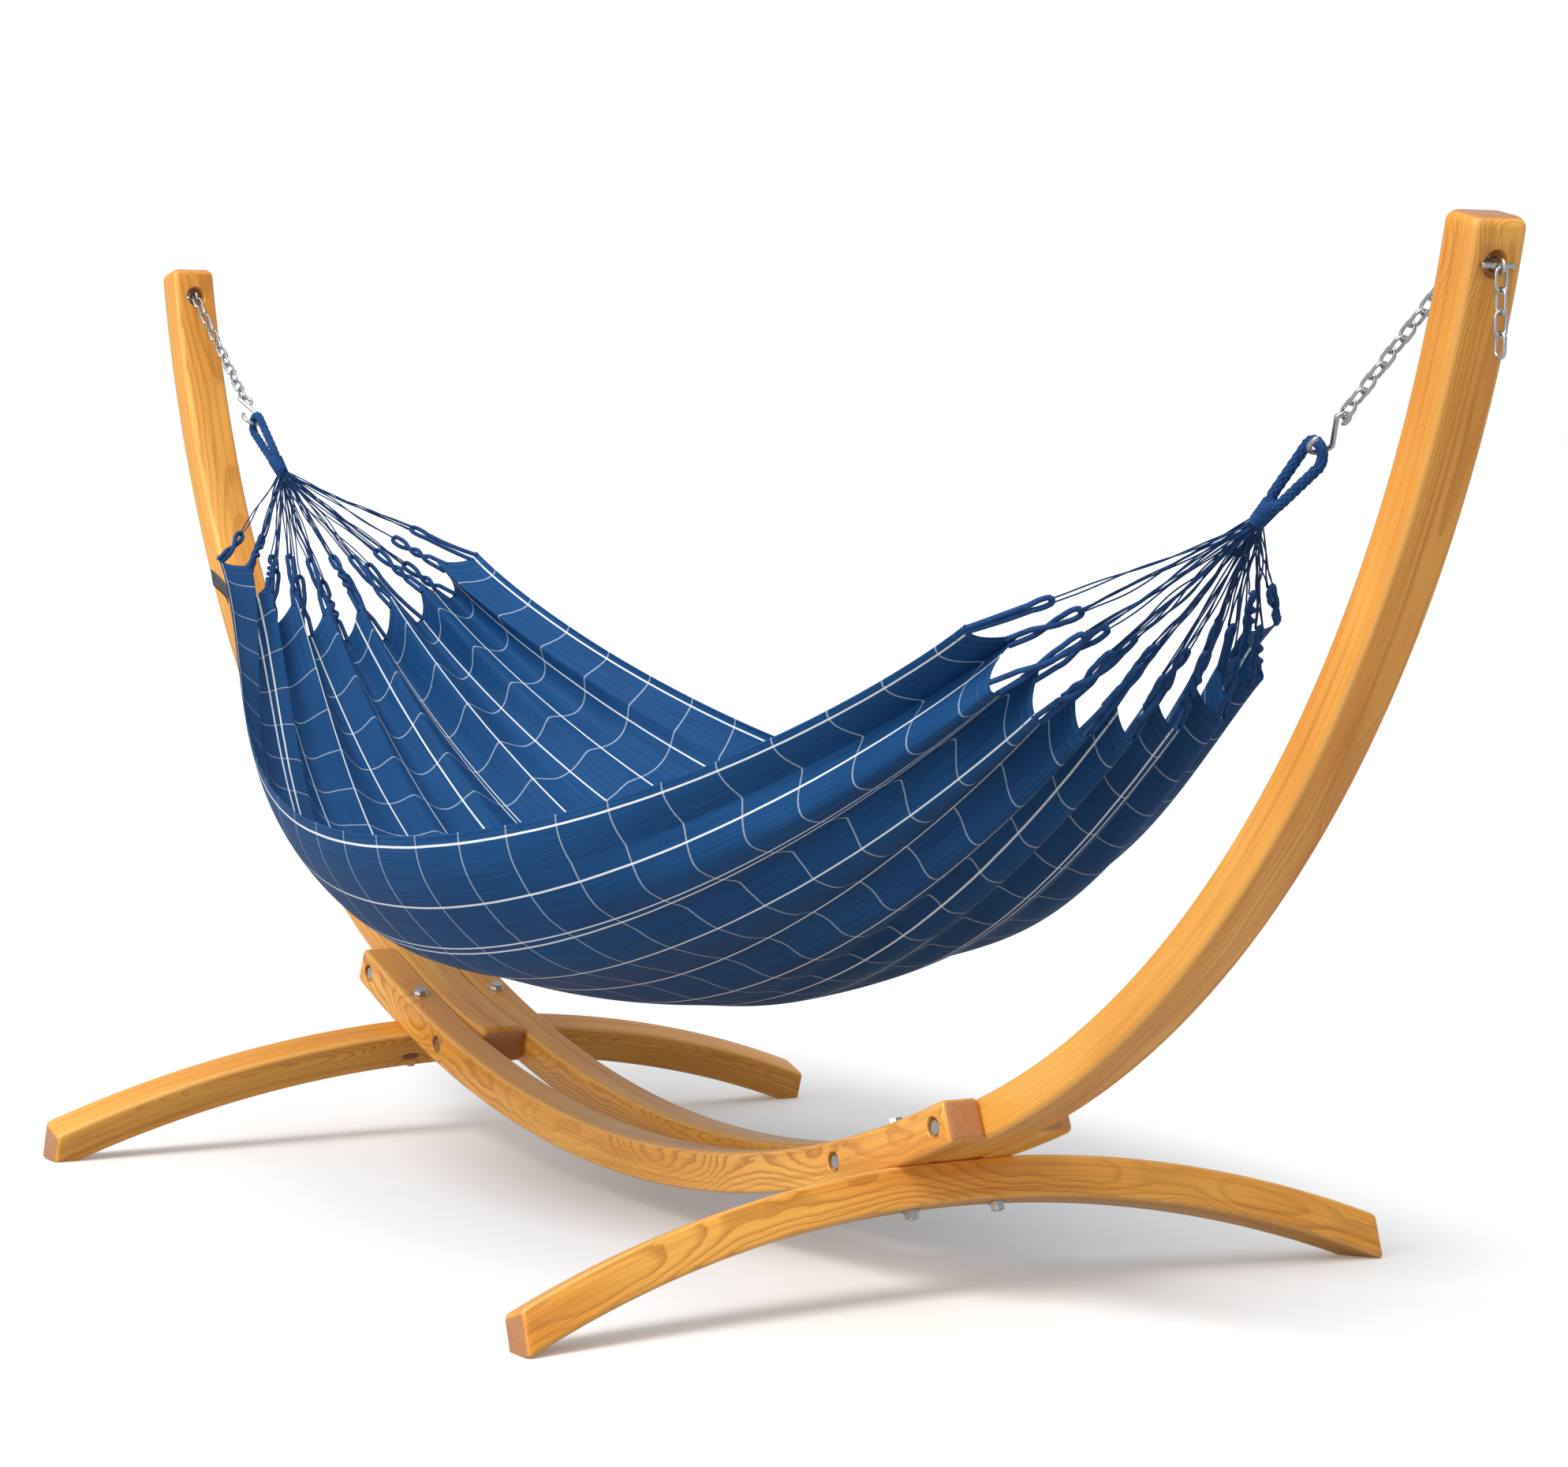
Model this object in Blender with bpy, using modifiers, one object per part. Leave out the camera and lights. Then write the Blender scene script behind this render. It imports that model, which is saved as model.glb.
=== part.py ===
"""Hammock on a curved stand of laminated larch.

Two arms are clamped between two parallel rails by bolts across them.  The rails stand on two
arched cross feet.  A chain is threaded through a hole near each arm's tip, held outside by a
pin, and an S-hook on it carries one end of the hammock.

X runs along the stand, Y across it, Z up.  The origin is on the floor under the middle.
Lengths are in metres.
"""
import math

import bmesh
import bpy
import numpy as np
from mathutils import Matrix, Vector

GAP = 0.0003                 # clearance between pieces that touch

# Rails: arcs of a circle, centred above the middle of the stand
RAIL_RADIUS = 2.200          # centre line
RAIL_THICKNESS = 0.056       # along the radius
RAIL_WIDTH = 0.056           # along Y
RAIL_HALF_ANGLE = 22.86      # degrees from the lowest point to either end
FLOOR_GAP = 0.053            # floor to the underside of the rails' middle

# Arms: tighter arcs, tangent to the rails' arc near the rails' ends
ARM_RADIUS = 1.540
ARM_THICKNESS = 0.056
ARM_WIDTH = 0.075
ARM_TANGENT_ANGLE = 22.0     # degrees on the rails' circle
ARM_LOW_ANGLE = 10.9         # degrees on the arm's own circle
ARM_TIP_ANGLE = 78.3
HOLE_ANGLE = 76.4
HOLE_RADIUS = 0.0155

# Feet: arches across the stand, square to the rails where they cross
FOOT_ANGLE = 18.66           # degrees on the rails' circle
FOOT_ARCH_RADIUS = 1.677     # top face
FOOT_THICKNESS = 0.056
FOOT_WIDTH = 0.054
FOOT_HALF_LENGTH = 0.648
FOOT_SEAT_HALF = 0.100       # half length of the flat that the rails stand on

WOOD_EDGE = 0.005            # rounding of the wood's edges

# Bolts (M10) and their washers
SHANK_RADIUS = 0.0050
SHANK_HOLE_RADIUS = 0.0053
HEX_ACROSS_FLATS = 0.017
HEX_HEIGHT = 0.0064
WASHER_RADIUS = 0.0120
WASHER_HEIGHT = 0.0020
BOLT_TIP = 0.0020            # how far a bolt stands proud of its nut
ARM_BOLT_ANGLES = {"inner": 15.4, "outer": 22.0}
COUNTERBORE_RADIUS = 0.0135
COUNTERBORE_DEPTH = 0.0120

# Chain, hooks and pins
WIRE_RADIUS = 0.00225
LINK_PITCH = 0.0225          # inside length of a link
LINK_WIDTH = 0.0190          # outside width
CHAIN_LINKS = 12             # from the arm to the hook, each side
CHAIN_SLOPE = 40.0           # degrees below level, hammock hanging empty
TAIL_LINKS = 4
PIN_RADIUS = 0.0033
PIN_LENGTH = 0.046
HOOK_WIRE = 0.0032
HOOK_EYE = 0.0105            # radius of the small bend, on the wire's centre line
HOOK_BOW = 0.0165            # radius of the open bend
HOOK_LENGTH = 0.0685         # between the bends' far points
HOOK_PLAY = 0.0009           # clearance between the hook's bow and the loop hung on it

# Hammock
LOOP_BAND = 0.0070           # radius of the woven loop's band
LOOP_BOW = 0.0170
LOOP_NECK = 0.0090
LOOP_LENGTH = 0.0830         # between the centres of the loop's two bends
LOOP_SLOPE = 37.0            # degrees below level
COLLAR_RADIUS = 0.0130
CORD_RADIUS = 0.0022
BRAID_RADIUS = 0.0055
CLOTH_THICKNESS = 0.0040
CLOTH_END_X = 1.100          # rim corner
CLOTH_END_X_MIDDLE = 1.112
RIM_HALF_WIDTH = 0.520       # at the middle of the hammock
RIM_HALF_WIDTH_END = 0.200
RIM_HEIGHT = 0.560
RIM_HEIGHT_END = 0.890
BED_HEIGHT = 0.300           # lowest point
BED_HEIGHT_END = 0.775
PLEATS = 8
PLEAT_DEPTH = 0.034          # half the ridge-to-valley height at the ends
PLEAT_START = 0.25           # share of the half length that is free of pleats
SCALLOP = 0.012
LABEL_SIZE = (0.045, 0.0012, 0.034)

RAIL_CENTRE_Z = FLOOR_GAP + RAIL_RADIUS + RAIL_THICKNESS / 2
RAIL_OUTER_RADIUS = RAIL_RADIUS + RAIL_THICKNESS / 2
RAIL_Y = ARM_WIDTH / 2 + GAP + RAIL_WIDTH / 2
ARM_CENTRE_X = (RAIL_RADIUS - ARM_RADIUS) * math.sin(math.radians(ARM_TANGENT_ANGLE))
ARM_CENTRE_Z = RAIL_CENTRE_Z - (RAIL_RADIUS - ARM_RADIUS) * math.cos(math.radians(ARM_TANGENT_ANGLE))
LINK_HALF = LINK_PITCH / 2 + WIRE_RADIUS                     # centre of a link to its wire's far bend
LINK_BEND = LINK_WIDTH / 2 - WIRE_RADIUS                     # radius of a link's bends
FREE_STEP = LINK_PITCH - GAP                                 # between separate links
JOINED_STEP = LINK_PITCH + 0.0006                            # between links that grip each other

Y_AXIS = Vector((0, 1, 0))
SIDES = {"left": -1, "right": 1}
ROWS = {"front": -1, "rear": 1}


def clear_scene():
    for item in list(bpy.data.objects):
        bpy.data.objects.remove(item, do_unlink=True)


def make_collection(name):
    collection = bpy.data.collections.new(name)
    bpy.context.scene.collection.children.link(collection)
    return collection


def make_material(name, colour, roughness, metallic=0.0):
    material = bpy.data.materials.new(name)
    material.use_nodes = True
    shader = material.node_tree.nodes["Principled BSDF"]
    shader.inputs["Base Color"].default_value = (*colour, 1.0)
    shader.inputs["Roughness"].default_value = roughness
    shader.inputs["Metallic"].default_value = metallic
    return material


clear_scene()
PARTS = make_collection("hammock_on_stand")
CUTTERS = make_collection("cutters")
LARCH = make_material("larch", (0.58, 0.31, 0.10), 0.45)
STEEL = make_material("zinc_steel", (0.70, 0.71, 0.72), 0.30, 1.0)
CLOTH = make_material("navy_cloth", (0.015, 0.06, 0.20), 0.85)
CORD = make_material("navy_cord", (0.010, 0.045, 0.16), 0.90)
LABEL = make_material("label_cloth", (0.03, 0.03, 0.03), 0.80)


def add_object(name, data, material=None, collection=PARTS):
    item = bpy.data.objects.new(name, data)
    collection.objects.link(item)
    if material is not None:
        data.materials.clear()
        data.materials.append(material)
    return item


def as_cutter(item):
    item.display_type = "WIRE"
    item.hide_render = True
    return item


def frame_matrix(origin, x_axis, y_axis):
    """Matrix that puts a local X and Y along the given directions."""
    x_axis = Vector(x_axis).normalized()
    z_axis = x_axis.cross(Vector(y_axis)).normalized()
    y_axis = z_axis.cross(x_axis)
    matrix = Matrix((x_axis, y_axis, z_axis)).transposed().to_4x4()
    matrix.translation = Vector(origin)
    return matrix


def mesh_of_curve(name, curve, matrix, material, collection=PARTS):
    """Turn a curve into a closed mesh object with welded caps."""
    source = add_object(name + "_curve", curve, None, collection)
    source.matrix_world = matrix
    bpy.context.view_layer.update()
    depsgraph = bpy.context.evaluated_depsgraph_get()
    mesh = bpy.data.meshes.new_from_object(source.evaluated_get(depsgraph))
    mesh.name = name
    work = bmesh.new()
    work.from_mesh(mesh)
    bmesh.ops.remove_doubles(work, verts=work.verts, dist=1e-6)
    bmesh.ops.recalc_face_normals(work, faces=work.faces)
    work.to_mesh(mesh)
    work.free()
    solid = add_object(name, mesh, material, collection)
    solid.matrix_world = matrix
    bpy.data.objects.remove(source, do_unlink=True)
    return solid


def flat_outline(name, points, thickness, matrix, material):
    """Extrude a closed outline, drawn in the matrix's XY plane, to both sides of that plane."""
    curve = bpy.data.curves.new(name, "CURVE")
    curve.dimensions = "2D"
    curve.fill_mode = "BOTH"
    curve.extrude = thickness / 2
    spline = curve.splines.new("POLY")
    spline.points.add(len(points) - 1)
    for point, (x, y) in zip(spline.points, points):
        point.co = (x, y, 0, 1)
    spline.use_cyclic_u = True
    return mesh_of_curve(name, curve, matrix, material)


def wire(name, points, radius, material, closed=False, resolution=1, radii=None):
    """Round wire along world points, with filled ends unless it closes on itself."""
    curve = bpy.data.curves.new(name, "CURVE")
    curve.dimensions = "3D"
    curve.bevel_depth = radius
    curve.bevel_resolution = resolution
    curve.use_fill_caps = not closed
    spline = curve.splines.new("POLY")
    spline.points.add(len(points) - 1)
    for index, place in enumerate(points):
        spline.points[index].co = (*place, 1)
        spline.points[index].radius = radii[index] if radii else 1.0
    spline.use_cyclic_u = closed
    solid = mesh_of_curve(name, curve, Matrix.Identity(4), material)
    solid.data.shade_smooth()
    return solid


def round_edges(item, width, segments=2):
    bevel = item.modifiers.new("round_edges", "BEVEL")
    bevel.width = width
    bevel.segments = segments
    bevel.limit_method = "ANGLE"
    bevel.angle_limit = math.radians(40)
    bevel.use_clamp_overlap = False


def combine(item, other, operation="DIFFERENCE"):
    boolean = item.modifiers.new(operation.lower(), "BOOLEAN")
    boolean.operation = operation
    boolean.object = other


def prism(name, radius, start, end, sides, material=None, collection=PARTS):
    """Cylinder or regular prism from one point to another."""
    start = Vector(start)
    end = Vector(end)
    mesh = bpy.data.meshes.new(name)
    work = bmesh.new()
    bmesh.ops.create_cone(work, cap_ends=True, segments=sides, radius1=radius, radius2=radius,
                          depth=(end - start).length)
    work.to_mesh(mesh)
    work.free()
    item = add_object(name, mesh, material, collection)
    turn = Vector((0, 0, 1)).rotation_difference(end - start)
    item.matrix_world = Matrix.Translation((start + end) / 2) @ turn.to_matrix().to_4x4()
    return item


def bore(item, name, radius, start, end, sides=16):
    combine(item, as_cutter(prism(name, radius, start, end, sides, collection=CUTTERS)))


def arc_points(radius, first, last, count):
    """Points of a circle about the origin; angles in degrees from straight down."""
    angles = np.radians(np.linspace(first, last, count))
    return [(radius * math.sin(a), -radius * math.cos(a)) for a in angles]


def radial(angle, side):
    """Outward unit vector of a circle in the XZ plane at an angle from straight down."""
    angle = math.radians(angle)
    return Vector((side * math.sin(angle), 0, -math.cos(angle)))


def on_rail_circle(radius, angle, side, y=0.0):
    return Vector((0, y, RAIL_CENTRE_Z)) + radial(angle, side) * radius


# ---------------------------------------------------------------- wood

def make_rail(row):
    """One of the two parallel lower rails, bored for its bolts."""
    name = "rail_" + row
    y = ROWS[row] * RAIL_Y
    inner = RAIL_RADIUS - RAIL_THICKNESS / 2
    outline = arc_points(RAIL_OUTER_RADIUS, -RAIL_HALF_ANGLE, RAIL_HALF_ANGLE, 29)
    outline += arc_points(inner, RAIL_HALF_ANGLE, -RAIL_HALF_ANGLE, 29)
    matrix = frame_matrix((0, y, RAIL_CENTRE_Z), (1, 0, 0), (0, 0, 1))
    rail = flat_outline(name, outline, RAIL_WIDTH, matrix, LARCH)
    round_edges(rail, WOOD_EDGE)
    outer_face = ROWS[row] * (RAIL_Y + RAIL_WIDTH / 2)
    for side_name, side in SIDES.items():
        for place, angle in ARM_BOLT_ANGLES.items():
            centre = on_rail_circle(RAIL_RADIUS, angle, side)
            tag = f"{name}_{side_name}_{place}"
            reach = Y_AXIS * (outer_face * 1.5)
            bore(rail, tag + "_hole", SHANK_HOLE_RADIUS, centre, centre + reach)
            floor = Y_AXIS * (outer_face - ROWS[row] * COUNTERBORE_DEPTH)
            bore(rail, tag + "_counterbore", COUNTERBORE_RADIUS, centre + floor, centre + reach, 24)
        inside = on_rail_circle(inner - 0.02, FOOT_ANGLE, side, y)
        outside = on_rail_circle(RAIL_OUTER_RADIUS + 0.02, FOOT_ANGLE, side, y)
        bore(rail, f"{name}_{side_name}_foot_hole", SHANK_HOLE_RADIUS, inside, outside)


def make_arm(side_name):
    """A long curved arm, bored for its two bolts and for the chain."""
    side = SIDES[side_name]
    name = "arm_" + side_name
    outer = ARM_RADIUS + ARM_THICKNESS / 2
    inner = ARM_RADIUS - ARM_THICKNESS / 2
    outline = arc_points(outer, ARM_LOW_ANGLE, ARM_TIP_ANGLE, 35)
    outline += arc_points(inner, ARM_TIP_ANGLE, ARM_LOW_ANGLE, 35)
    matrix = frame_matrix((side * ARM_CENTRE_X, 0, ARM_CENTRE_Z), (side, 0, 0), (0, 0, 1))
    arm = flat_outline(name, outline, ARM_WIDTH, matrix, LARCH)
    round_edges(arm, WOOD_EDGE)
    for place, angle in ARM_BOLT_ANGLES.items():
        centre = on_rail_circle(RAIL_RADIUS, angle, side)
        bore(arm, f"{name}_{place}_hole", SHANK_HOLE_RADIUS, centre - Y_AXIS * 0.06, centre + Y_AXIS * 0.06)
    centre = Vector((side * ARM_CENTRE_X, 0, ARM_CENTRE_Z))
    direction = radial(HOLE_ANGLE, side)
    bore(arm, name + "_chain_hole", HOLE_RADIUS, centre + direction * (inner - 0.02),
         centre + direction * (outer + 0.02), 28)


def foot_drop(radius, y):
    return radius - math.sqrt(radius ** 2 - y ** 2)


def make_foot(side_name):
    """An arched foot under the rails, its ends sawn flat where they stand on the floor."""
    side = SIDES[side_name]
    name = "foot_" + side_name
    seat_drop = foot_drop(FOOT_ARCH_RADIUS, FOOT_SEAT_HALF)
    under_radius = FOOT_ARCH_RADIUS - FOOT_THICKNESS
    top = [(y, seat_drop - foot_drop(FOOT_ARCH_RADIUS, y))
           for y in np.linspace(FOOT_SEAT_HALF, FOOT_HALF_LENGTH, 12)]
    under = [(y, seat_drop - FOOT_THICKNESS - foot_drop(under_radius, y))
             for y in np.linspace(FOOT_HALF_LENGTH, -FOOT_HALF_LENGTH, 25)]
    outline = [(-y, z) for y, z in reversed(top)] + top + under
    up = -radial(FOOT_ANGLE, side)
    origin = on_rail_circle(RAIL_OUTER_RADIUS + GAP, FOOT_ANGLE, side)
    matrix = frame_matrix(origin, Y_AXIS, up)
    foot = flat_outline(name, outline, FOOT_WIDTH, matrix, LARCH)
    round_edges(foot, WOOD_EDGE)
    ground = bpy.data.meshes.new(name + "_floor")
    work = bmesh.new()
    bmesh.ops.create_cube(work, size=1.0)
    bmesh.ops.scale(work, verts=work.verts, vec=(0.4, 2 * FOOT_HALF_LENGTH + 0.2, 0.1))
    work.to_mesh(ground)
    work.free()
    block = as_cutter(add_object(name + "_floor", ground, None, CUTTERS))
    block.location = (origin.x, 0, -0.05)
    combine(foot, block)
    for row in ROWS:
        shift = Y_AXIS * (ROWS[row] * RAIL_Y)
        bore(foot, f"{name}_{row}_hole", SHANK_HOLE_RADIUS, origin + up * 0.02 + shift,
             origin - up * 0.09 + shift)


# ---------------------------------------------------------------- bolts

def make_bolt(name, head_seat, direction, nut_seat, nut_height):
    """Hex bolt with its washer: the seat is where the washer bears, direction points at the nut."""
    direction = Vector(direction).normalized()
    washer_top = head_seat - direction * (GAP + WASHER_HEIGHT)
    hex_radius = HEX_ACROSS_FLATS / math.sqrt(3)
    tip = nut_seat + direction * (nut_height + GAP + BOLT_TIP)
    bolt = prism(name, hex_radius, washer_top - direction * HEX_HEIGHT, washer_top + direction * 0.0005,
                 6, STEEL)
    washer = prism(name + "_washer", WASHER_RADIUS, washer_top, head_seat - direction * GAP, 20,
                   STEEL, CUTTERS)
    shank = prism(name + "_shank", SHANK_RADIUS, washer_top - direction * 0.002, tip, 14,
                  STEEL, CUTTERS)
    combine(bolt, as_cutter(washer), "UNION")
    combine(bolt, as_cutter(shank), "UNION")


def make_nut(name, seat, direction, height, relief=0.0):
    """Hex nut with its washer, pushed along direction from the seat face."""
    direction = Vector(direction).normalized()
    start = seat + direction * (GAP + relief)
    middle = start + direction * WASHER_HEIGHT
    nut = prism(name, HEX_ACROSS_FLATS / math.sqrt(3), middle - direction * 0.0005,
                start + direction * height, 6, STEEL)
    washer = prism(name + "_washer", WASHER_RADIUS, start, middle, 20, STEEL, CUTTERS)
    combine(nut, as_cutter(washer), "UNION")
    bore(nut, name + "_thread", SHANK_RADIUS + GAP, start - direction * 0.01,
         start + direction * (height + 0.01), 14)


def make_arm_fasteners(side_name):
    """Bolts through rail, arm and rail, sunk in counterbores."""
    side = SIDES[side_name]
    face = RAIL_Y + RAIL_WIDTH / 2 - COUNTERBORE_DEPTH
    nut_height = WASHER_HEIGHT + 0.0070
    for place, angle in ARM_BOLT_ANGLES.items():
        centre = on_rail_circle(RAIL_RADIUS, angle, side)
        head_seat = centre - Y_AXIS * face
        nut_seat = centre + Y_AXIS * face
        make_bolt(f"arm_bolt_{side_name}_{place}", head_seat, Y_AXIS, nut_seat, nut_height)
        make_nut(f"arm_nut_{side_name}_{place}", nut_seat, Y_AXIS, nut_height)


def make_foot_fasteners(side_name):
    """Bolts down through each rail and the foot."""
    side = SIDES[side_name]
    down = radial(FOOT_ANGLE, side)
    nut_height = WASHER_HEIGHT + 0.0080
    seat_drop = foot_drop(FOOT_ARCH_RADIUS, FOOT_SEAT_HALF)
    underside = FOOT_THICKNESS - seat_drop + foot_drop(FOOT_ARCH_RADIUS - FOOT_THICKNESS, RAIL_Y)
    slope_relief = WASHER_RADIUS * RAIL_Y / (FOOT_ARCH_RADIUS - FOOT_THICKNESS)
    for row, sign in ROWS.items():
        head_seat = on_rail_circle(RAIL_RADIUS - RAIL_THICKNESS / 2, FOOT_ANGLE, side, sign * RAIL_Y)
        nut_seat = on_rail_circle(RAIL_OUTER_RADIUS + GAP + underside, FOOT_ANGLE, side, sign * RAIL_Y)
        tag = f"{side_name}_{row}"
        make_bolt("foot_bolt_" + tag, head_seat, down, nut_seat, nut_height + slope_relief)
        make_nut("foot_nut_" + tag, nut_seat, down, nut_height, slope_relief)


# ---------------------------------------------------------------- chain

def link_points(centre, along, across):
    """Stadium-shaped path of one link's wire."""
    straight = LINK_HALF - LINK_BEND
    points = []
    for end in (1, -1):
        for angle in np.radians(np.linspace(-90, 90, 6)):
            along_part = end * (straight + LINK_BEND * math.cos(angle))
            across_part = end * LINK_BEND * math.sin(angle)
            points.append(centre + along * along_part + across * across_part)
    return points


def make_link(name, centre, along, across):
    return wire(name, link_points(centre, along, across), WIRE_RADIUS, STEEL, closed=True)


def joined_links(name, first, step, count, across, other):
    """Links that grip each other, as one solid; across and other alternate as their planes."""
    along = step.normalized()
    body = make_link(name, first, along, across)
    for index in range(1, count):
        plane = other if index % 2 else across
        item = make_link(f"{name}_{index + 1}", first + step * index, along, plane)
        PARTS.objects.unlink(item)
        CUTTERS.objects.link(item)
        combine(body, as_cutter(item), "UNION")
    return body


def chain_frame(side):
    """Directions and turning point of the chain where it leaves its hole."""
    outward = radial(HOLE_ANGLE, side)
    face = Vector((side * ARM_CENTRE_X, 0, ARM_CENTRE_Z)) + outward * (ARM_RADIUS + ARM_THICKNESS / 2)
    pin = face + outward * (GAP + PIN_RADIUS)
    tail_wire = pin + outward * (PIN_RADIUS + GAP + WIRE_RADIUS)
    anchor_bend = tail_wire + outward * (2 * WIRE_RADIUS + GAP)
    anchor_centre = anchor_bend - outward * LINK_HALF
    slope = math.radians(CHAIN_SLOPE)
    along = Vector((-side * math.cos(slope), 0, -math.sin(slope)))
    upright = Vector((-side * math.sin(slope), 0, math.cos(slope)))
    last_centre = anchor_centre - outward * (2 * JOINED_STEP)
    bend_centre = last_centre - outward * (LINK_HALF - LINK_BEND)
    pivot = bend_centre + along * (LINK_BEND - WIRE_RADIUS - GAP / 2)
    return outward, pin, tail_wire, anchor_centre, pivot, along, upright


def bend_points(centre, towards, sideways, radius, first, last, count):
    """Arc in the plane of two directions; 0 degrees lies along the first."""
    angles = np.radians(np.linspace(first, last, count))
    return [centre + towards * (radius * math.cos(a)) + sideways * (radius * math.sin(a)) for a in angles]


def make_chain(side_name):
    """Anchor in the hole, retaining pin, hanging tail, free links and S-hook."""
    side = SIDES[side_name]
    outward, pin, tail_wire, anchor_centre, pivot, along, upright = chain_frame(side)
    in_plane = Y_AXIS.cross(outward)
    joined_links(f"chain_{side_name}_anchor", anchor_centre, -outward * JOINED_STEP, 3, in_plane, Y_AXIS)

    rod = prism("retaining_pin_" + side_name, PIN_RADIUS, pin - Y_AXIS * PIN_LENGTH / 2,
                pin + Y_AXIS * PIN_LENGTH / 2, 14, STEEL)
    round_edges(rod, 0.0015)

    down = Vector((0, 0, -1))
    tail_first = tail_wire + down * LINK_HALF
    joined_links(f"chain_{side_name}_tail", tail_first, down * JOINED_STEP, TAIL_LINKS, Y_AXIS,
                 Vector((1, 0, 0)))

    first_bend = pivot - along * (WIRE_RADIUS + GAP / 2)
    for index in range(CHAIN_LINKS):
        centre = first_bend + along * (LINK_HALF + index * FREE_STEP)
        plane = upright if index % 2 else Y_AXIS
        make_link(f"chain_{side_name}_link_{index + 1:02d}", centre, along, plane)

    last_bend = first_bend + along * (2 * LINK_HALF + (CHAIN_LINKS - 1) * FREE_STEP)
    eye_wire = last_bend - along * (WIRE_RADIUS + GAP + HOOK_WIRE)
    eye_centre = eye_wire + along * HOOK_EYE
    bow_wire = eye_wire + along * HOOK_LENGTH
    bow_centre = bow_wire - along * HOOK_BOW
    points = bend_points(eye_centre, along, Y_AXIS, HOOK_EYE, 35, 235, 9)
    points += bend_points(bow_centre, along, Y_AXIS, HOOK_BOW, 75, -130, 10)
    wire("s_hook_" + side_name, points, HOOK_WIRE, STEEL, resolution=2)
    return bow_wire


# ---------------------------------------------------------------- hammock

def blend(start, end, share):
    return start + (end - start) * share


def section_angle(share, half_width, depth):
    """Angle on a half ellipse at a share, -1 to 1, of its arc on either side of the lowest point."""
    angles = np.linspace(0, math.pi / 2, 60)
    steps = np.hypot(half_width * np.cos(angles), depth * np.sin(angles))
    arc = np.concatenate(([0], np.cumsum((steps[1:] + steps[:-1]) / 2)))
    return math.copysign(float(np.interp(abs(share), arc / arc[-1], angles)), share)


def cloth_point(u, v, pleated=True):
    """Point of the hammock's cloth: u runs from end to end, v from rim to rim, both -1 to 1."""
    reach = abs(u)
    half_width = blend(RIM_HALF_WIDTH_END, RIM_HALF_WIDTH, math.cos(math.pi / 2 * reach) ** 1.2)
    rim = blend(RIM_HEIGHT, RIM_HEIGHT_END, reach ** 2)
    bed = blend(BED_HEIGHT, BED_HEIGHT_END, reach ** 2)
    depth = rim - bed
    angle = section_angle(v, half_width, depth)
    x = u * blend(CLOTH_END_X_MIDDLE, CLOTH_END_X, v * v)
    y = half_width * math.sin(angle)
    z = rim - depth * math.cos(angle)
    if pleated and reach > PLEAT_START:
        growth = ((reach - PLEAT_START) / (1 - PLEAT_START)) ** 1.4
        wave = math.cos(math.pi * PLEATS * (v + 1))
        normal = Vector((0, math.sin(angle) / half_width, -math.cos(angle) / depth)).normalized()
        y += normal.y * PLEAT_DEPTH * growth * wave
        z += normal.z * PLEAT_DEPTH * growth * wave
        x += math.copysign(SCALLOP, u) * growth ** 3 * wave
    return Vector((x, y, z))


def make_bed():
    """The cloth as one thin open shell with pleats running out to both ends."""
    along = 24
    across = 4 * PLEATS
    mesh = bpy.data.meshes.new("hammock_bed")
    work = bmesh.new()
    grid = [[work.verts.new(cloth_point(2 * i / along - 1, 2 * j / across - 1))
             for j in range(across + 1)] for i in range(along + 1)]
    for i in range(along):
        for j in range(across):
            work.faces.new((grid[i][j], grid[i + 1][j], grid[i + 1][j + 1], grid[i][j + 1]))
    work.to_mesh(mesh)
    work.free()
    bed = add_object("hammock_bed", mesh, CLOTH)
    shell = bed.modifiers.new("shell", "SOLIDIFY")
    shell.thickness = CLOTH_THICKNESS
    shell.offset = 0


def make_suspension(side_name, hook_wire):
    """Woven loop over the hook, and the fan of cords from it to the cloth's pleats."""
    side = SIDES[side_name]
    slope = math.radians(LOOP_SLOPE)
    pull = Vector((-side * math.cos(slope), 0, -math.sin(slope)))
    upright = Vector((-side * math.sin(slope), 0, math.cos(slope)))
    bow_centre = hook_wire + pull * (LOOP_BOW - HOOK_WIRE - HOOK_PLAY - LOOP_BAND)
    neck_centre = bow_centre + pull * LOOP_LENGTH
    lean = math.degrees(math.asin((LOOP_BOW - LOOP_NECK) / LOOP_LENGTH))
    points = bend_points(bow_centre, pull, upright, LOOP_BOW, 90 - lean, 270 + lean, 10)
    points += bend_points(neck_centre, pull, upright, LOOP_NECK, -90 + lean, 90 - lean, 6)
    wire("head_loop_" + side_name, points, LOOP_BAND, CORD, closed=True, resolution=2)

    collar_centre = neck_centre + pull * (LOOP_NECK + LOOP_BAND + GAP + COLLAR_RADIUS)
    mesh = bpy.data.meshes.new("cord_fan_" + side_name)
    work = bmesh.new()
    bmesh.ops.create_uvsphere(work, u_segments=12, v_segments=8, radius=COLLAR_RADIUS)
    work.to_mesh(mesh)
    work.free()
    fan = add_object("cord_fan_" + side_name, mesh, CORD)
    fan.location = collar_centre
    for index in range(PLEATS + 1):
        edge = cloth_point(side, 2 * index / PLEATS - 1)
        reach = (collar_centre - edge).normalized()
        end = edge + reach * (CLOTH_THICKNESS / 2 + 0.003)
        places = [blend(collar_centre, end, share) for share in (0.0, 0.3, 0.6, 0.64, 0.96, 1.0)]
        swell = BRAID_RADIUS / CORD_RADIUS
        radii = [1.0, 1.0, 1.0, swell, swell, swell * 0.7]
        cord = wire(f"cord_{side_name}_{index + 1}", places, CORD_RADIUS, CORD, radii=radii)
        PARTS.objects.unlink(cord)
        CUTTERS.objects.link(cord)
        combine(fan, as_cutter(cord), "UNION")


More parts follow.
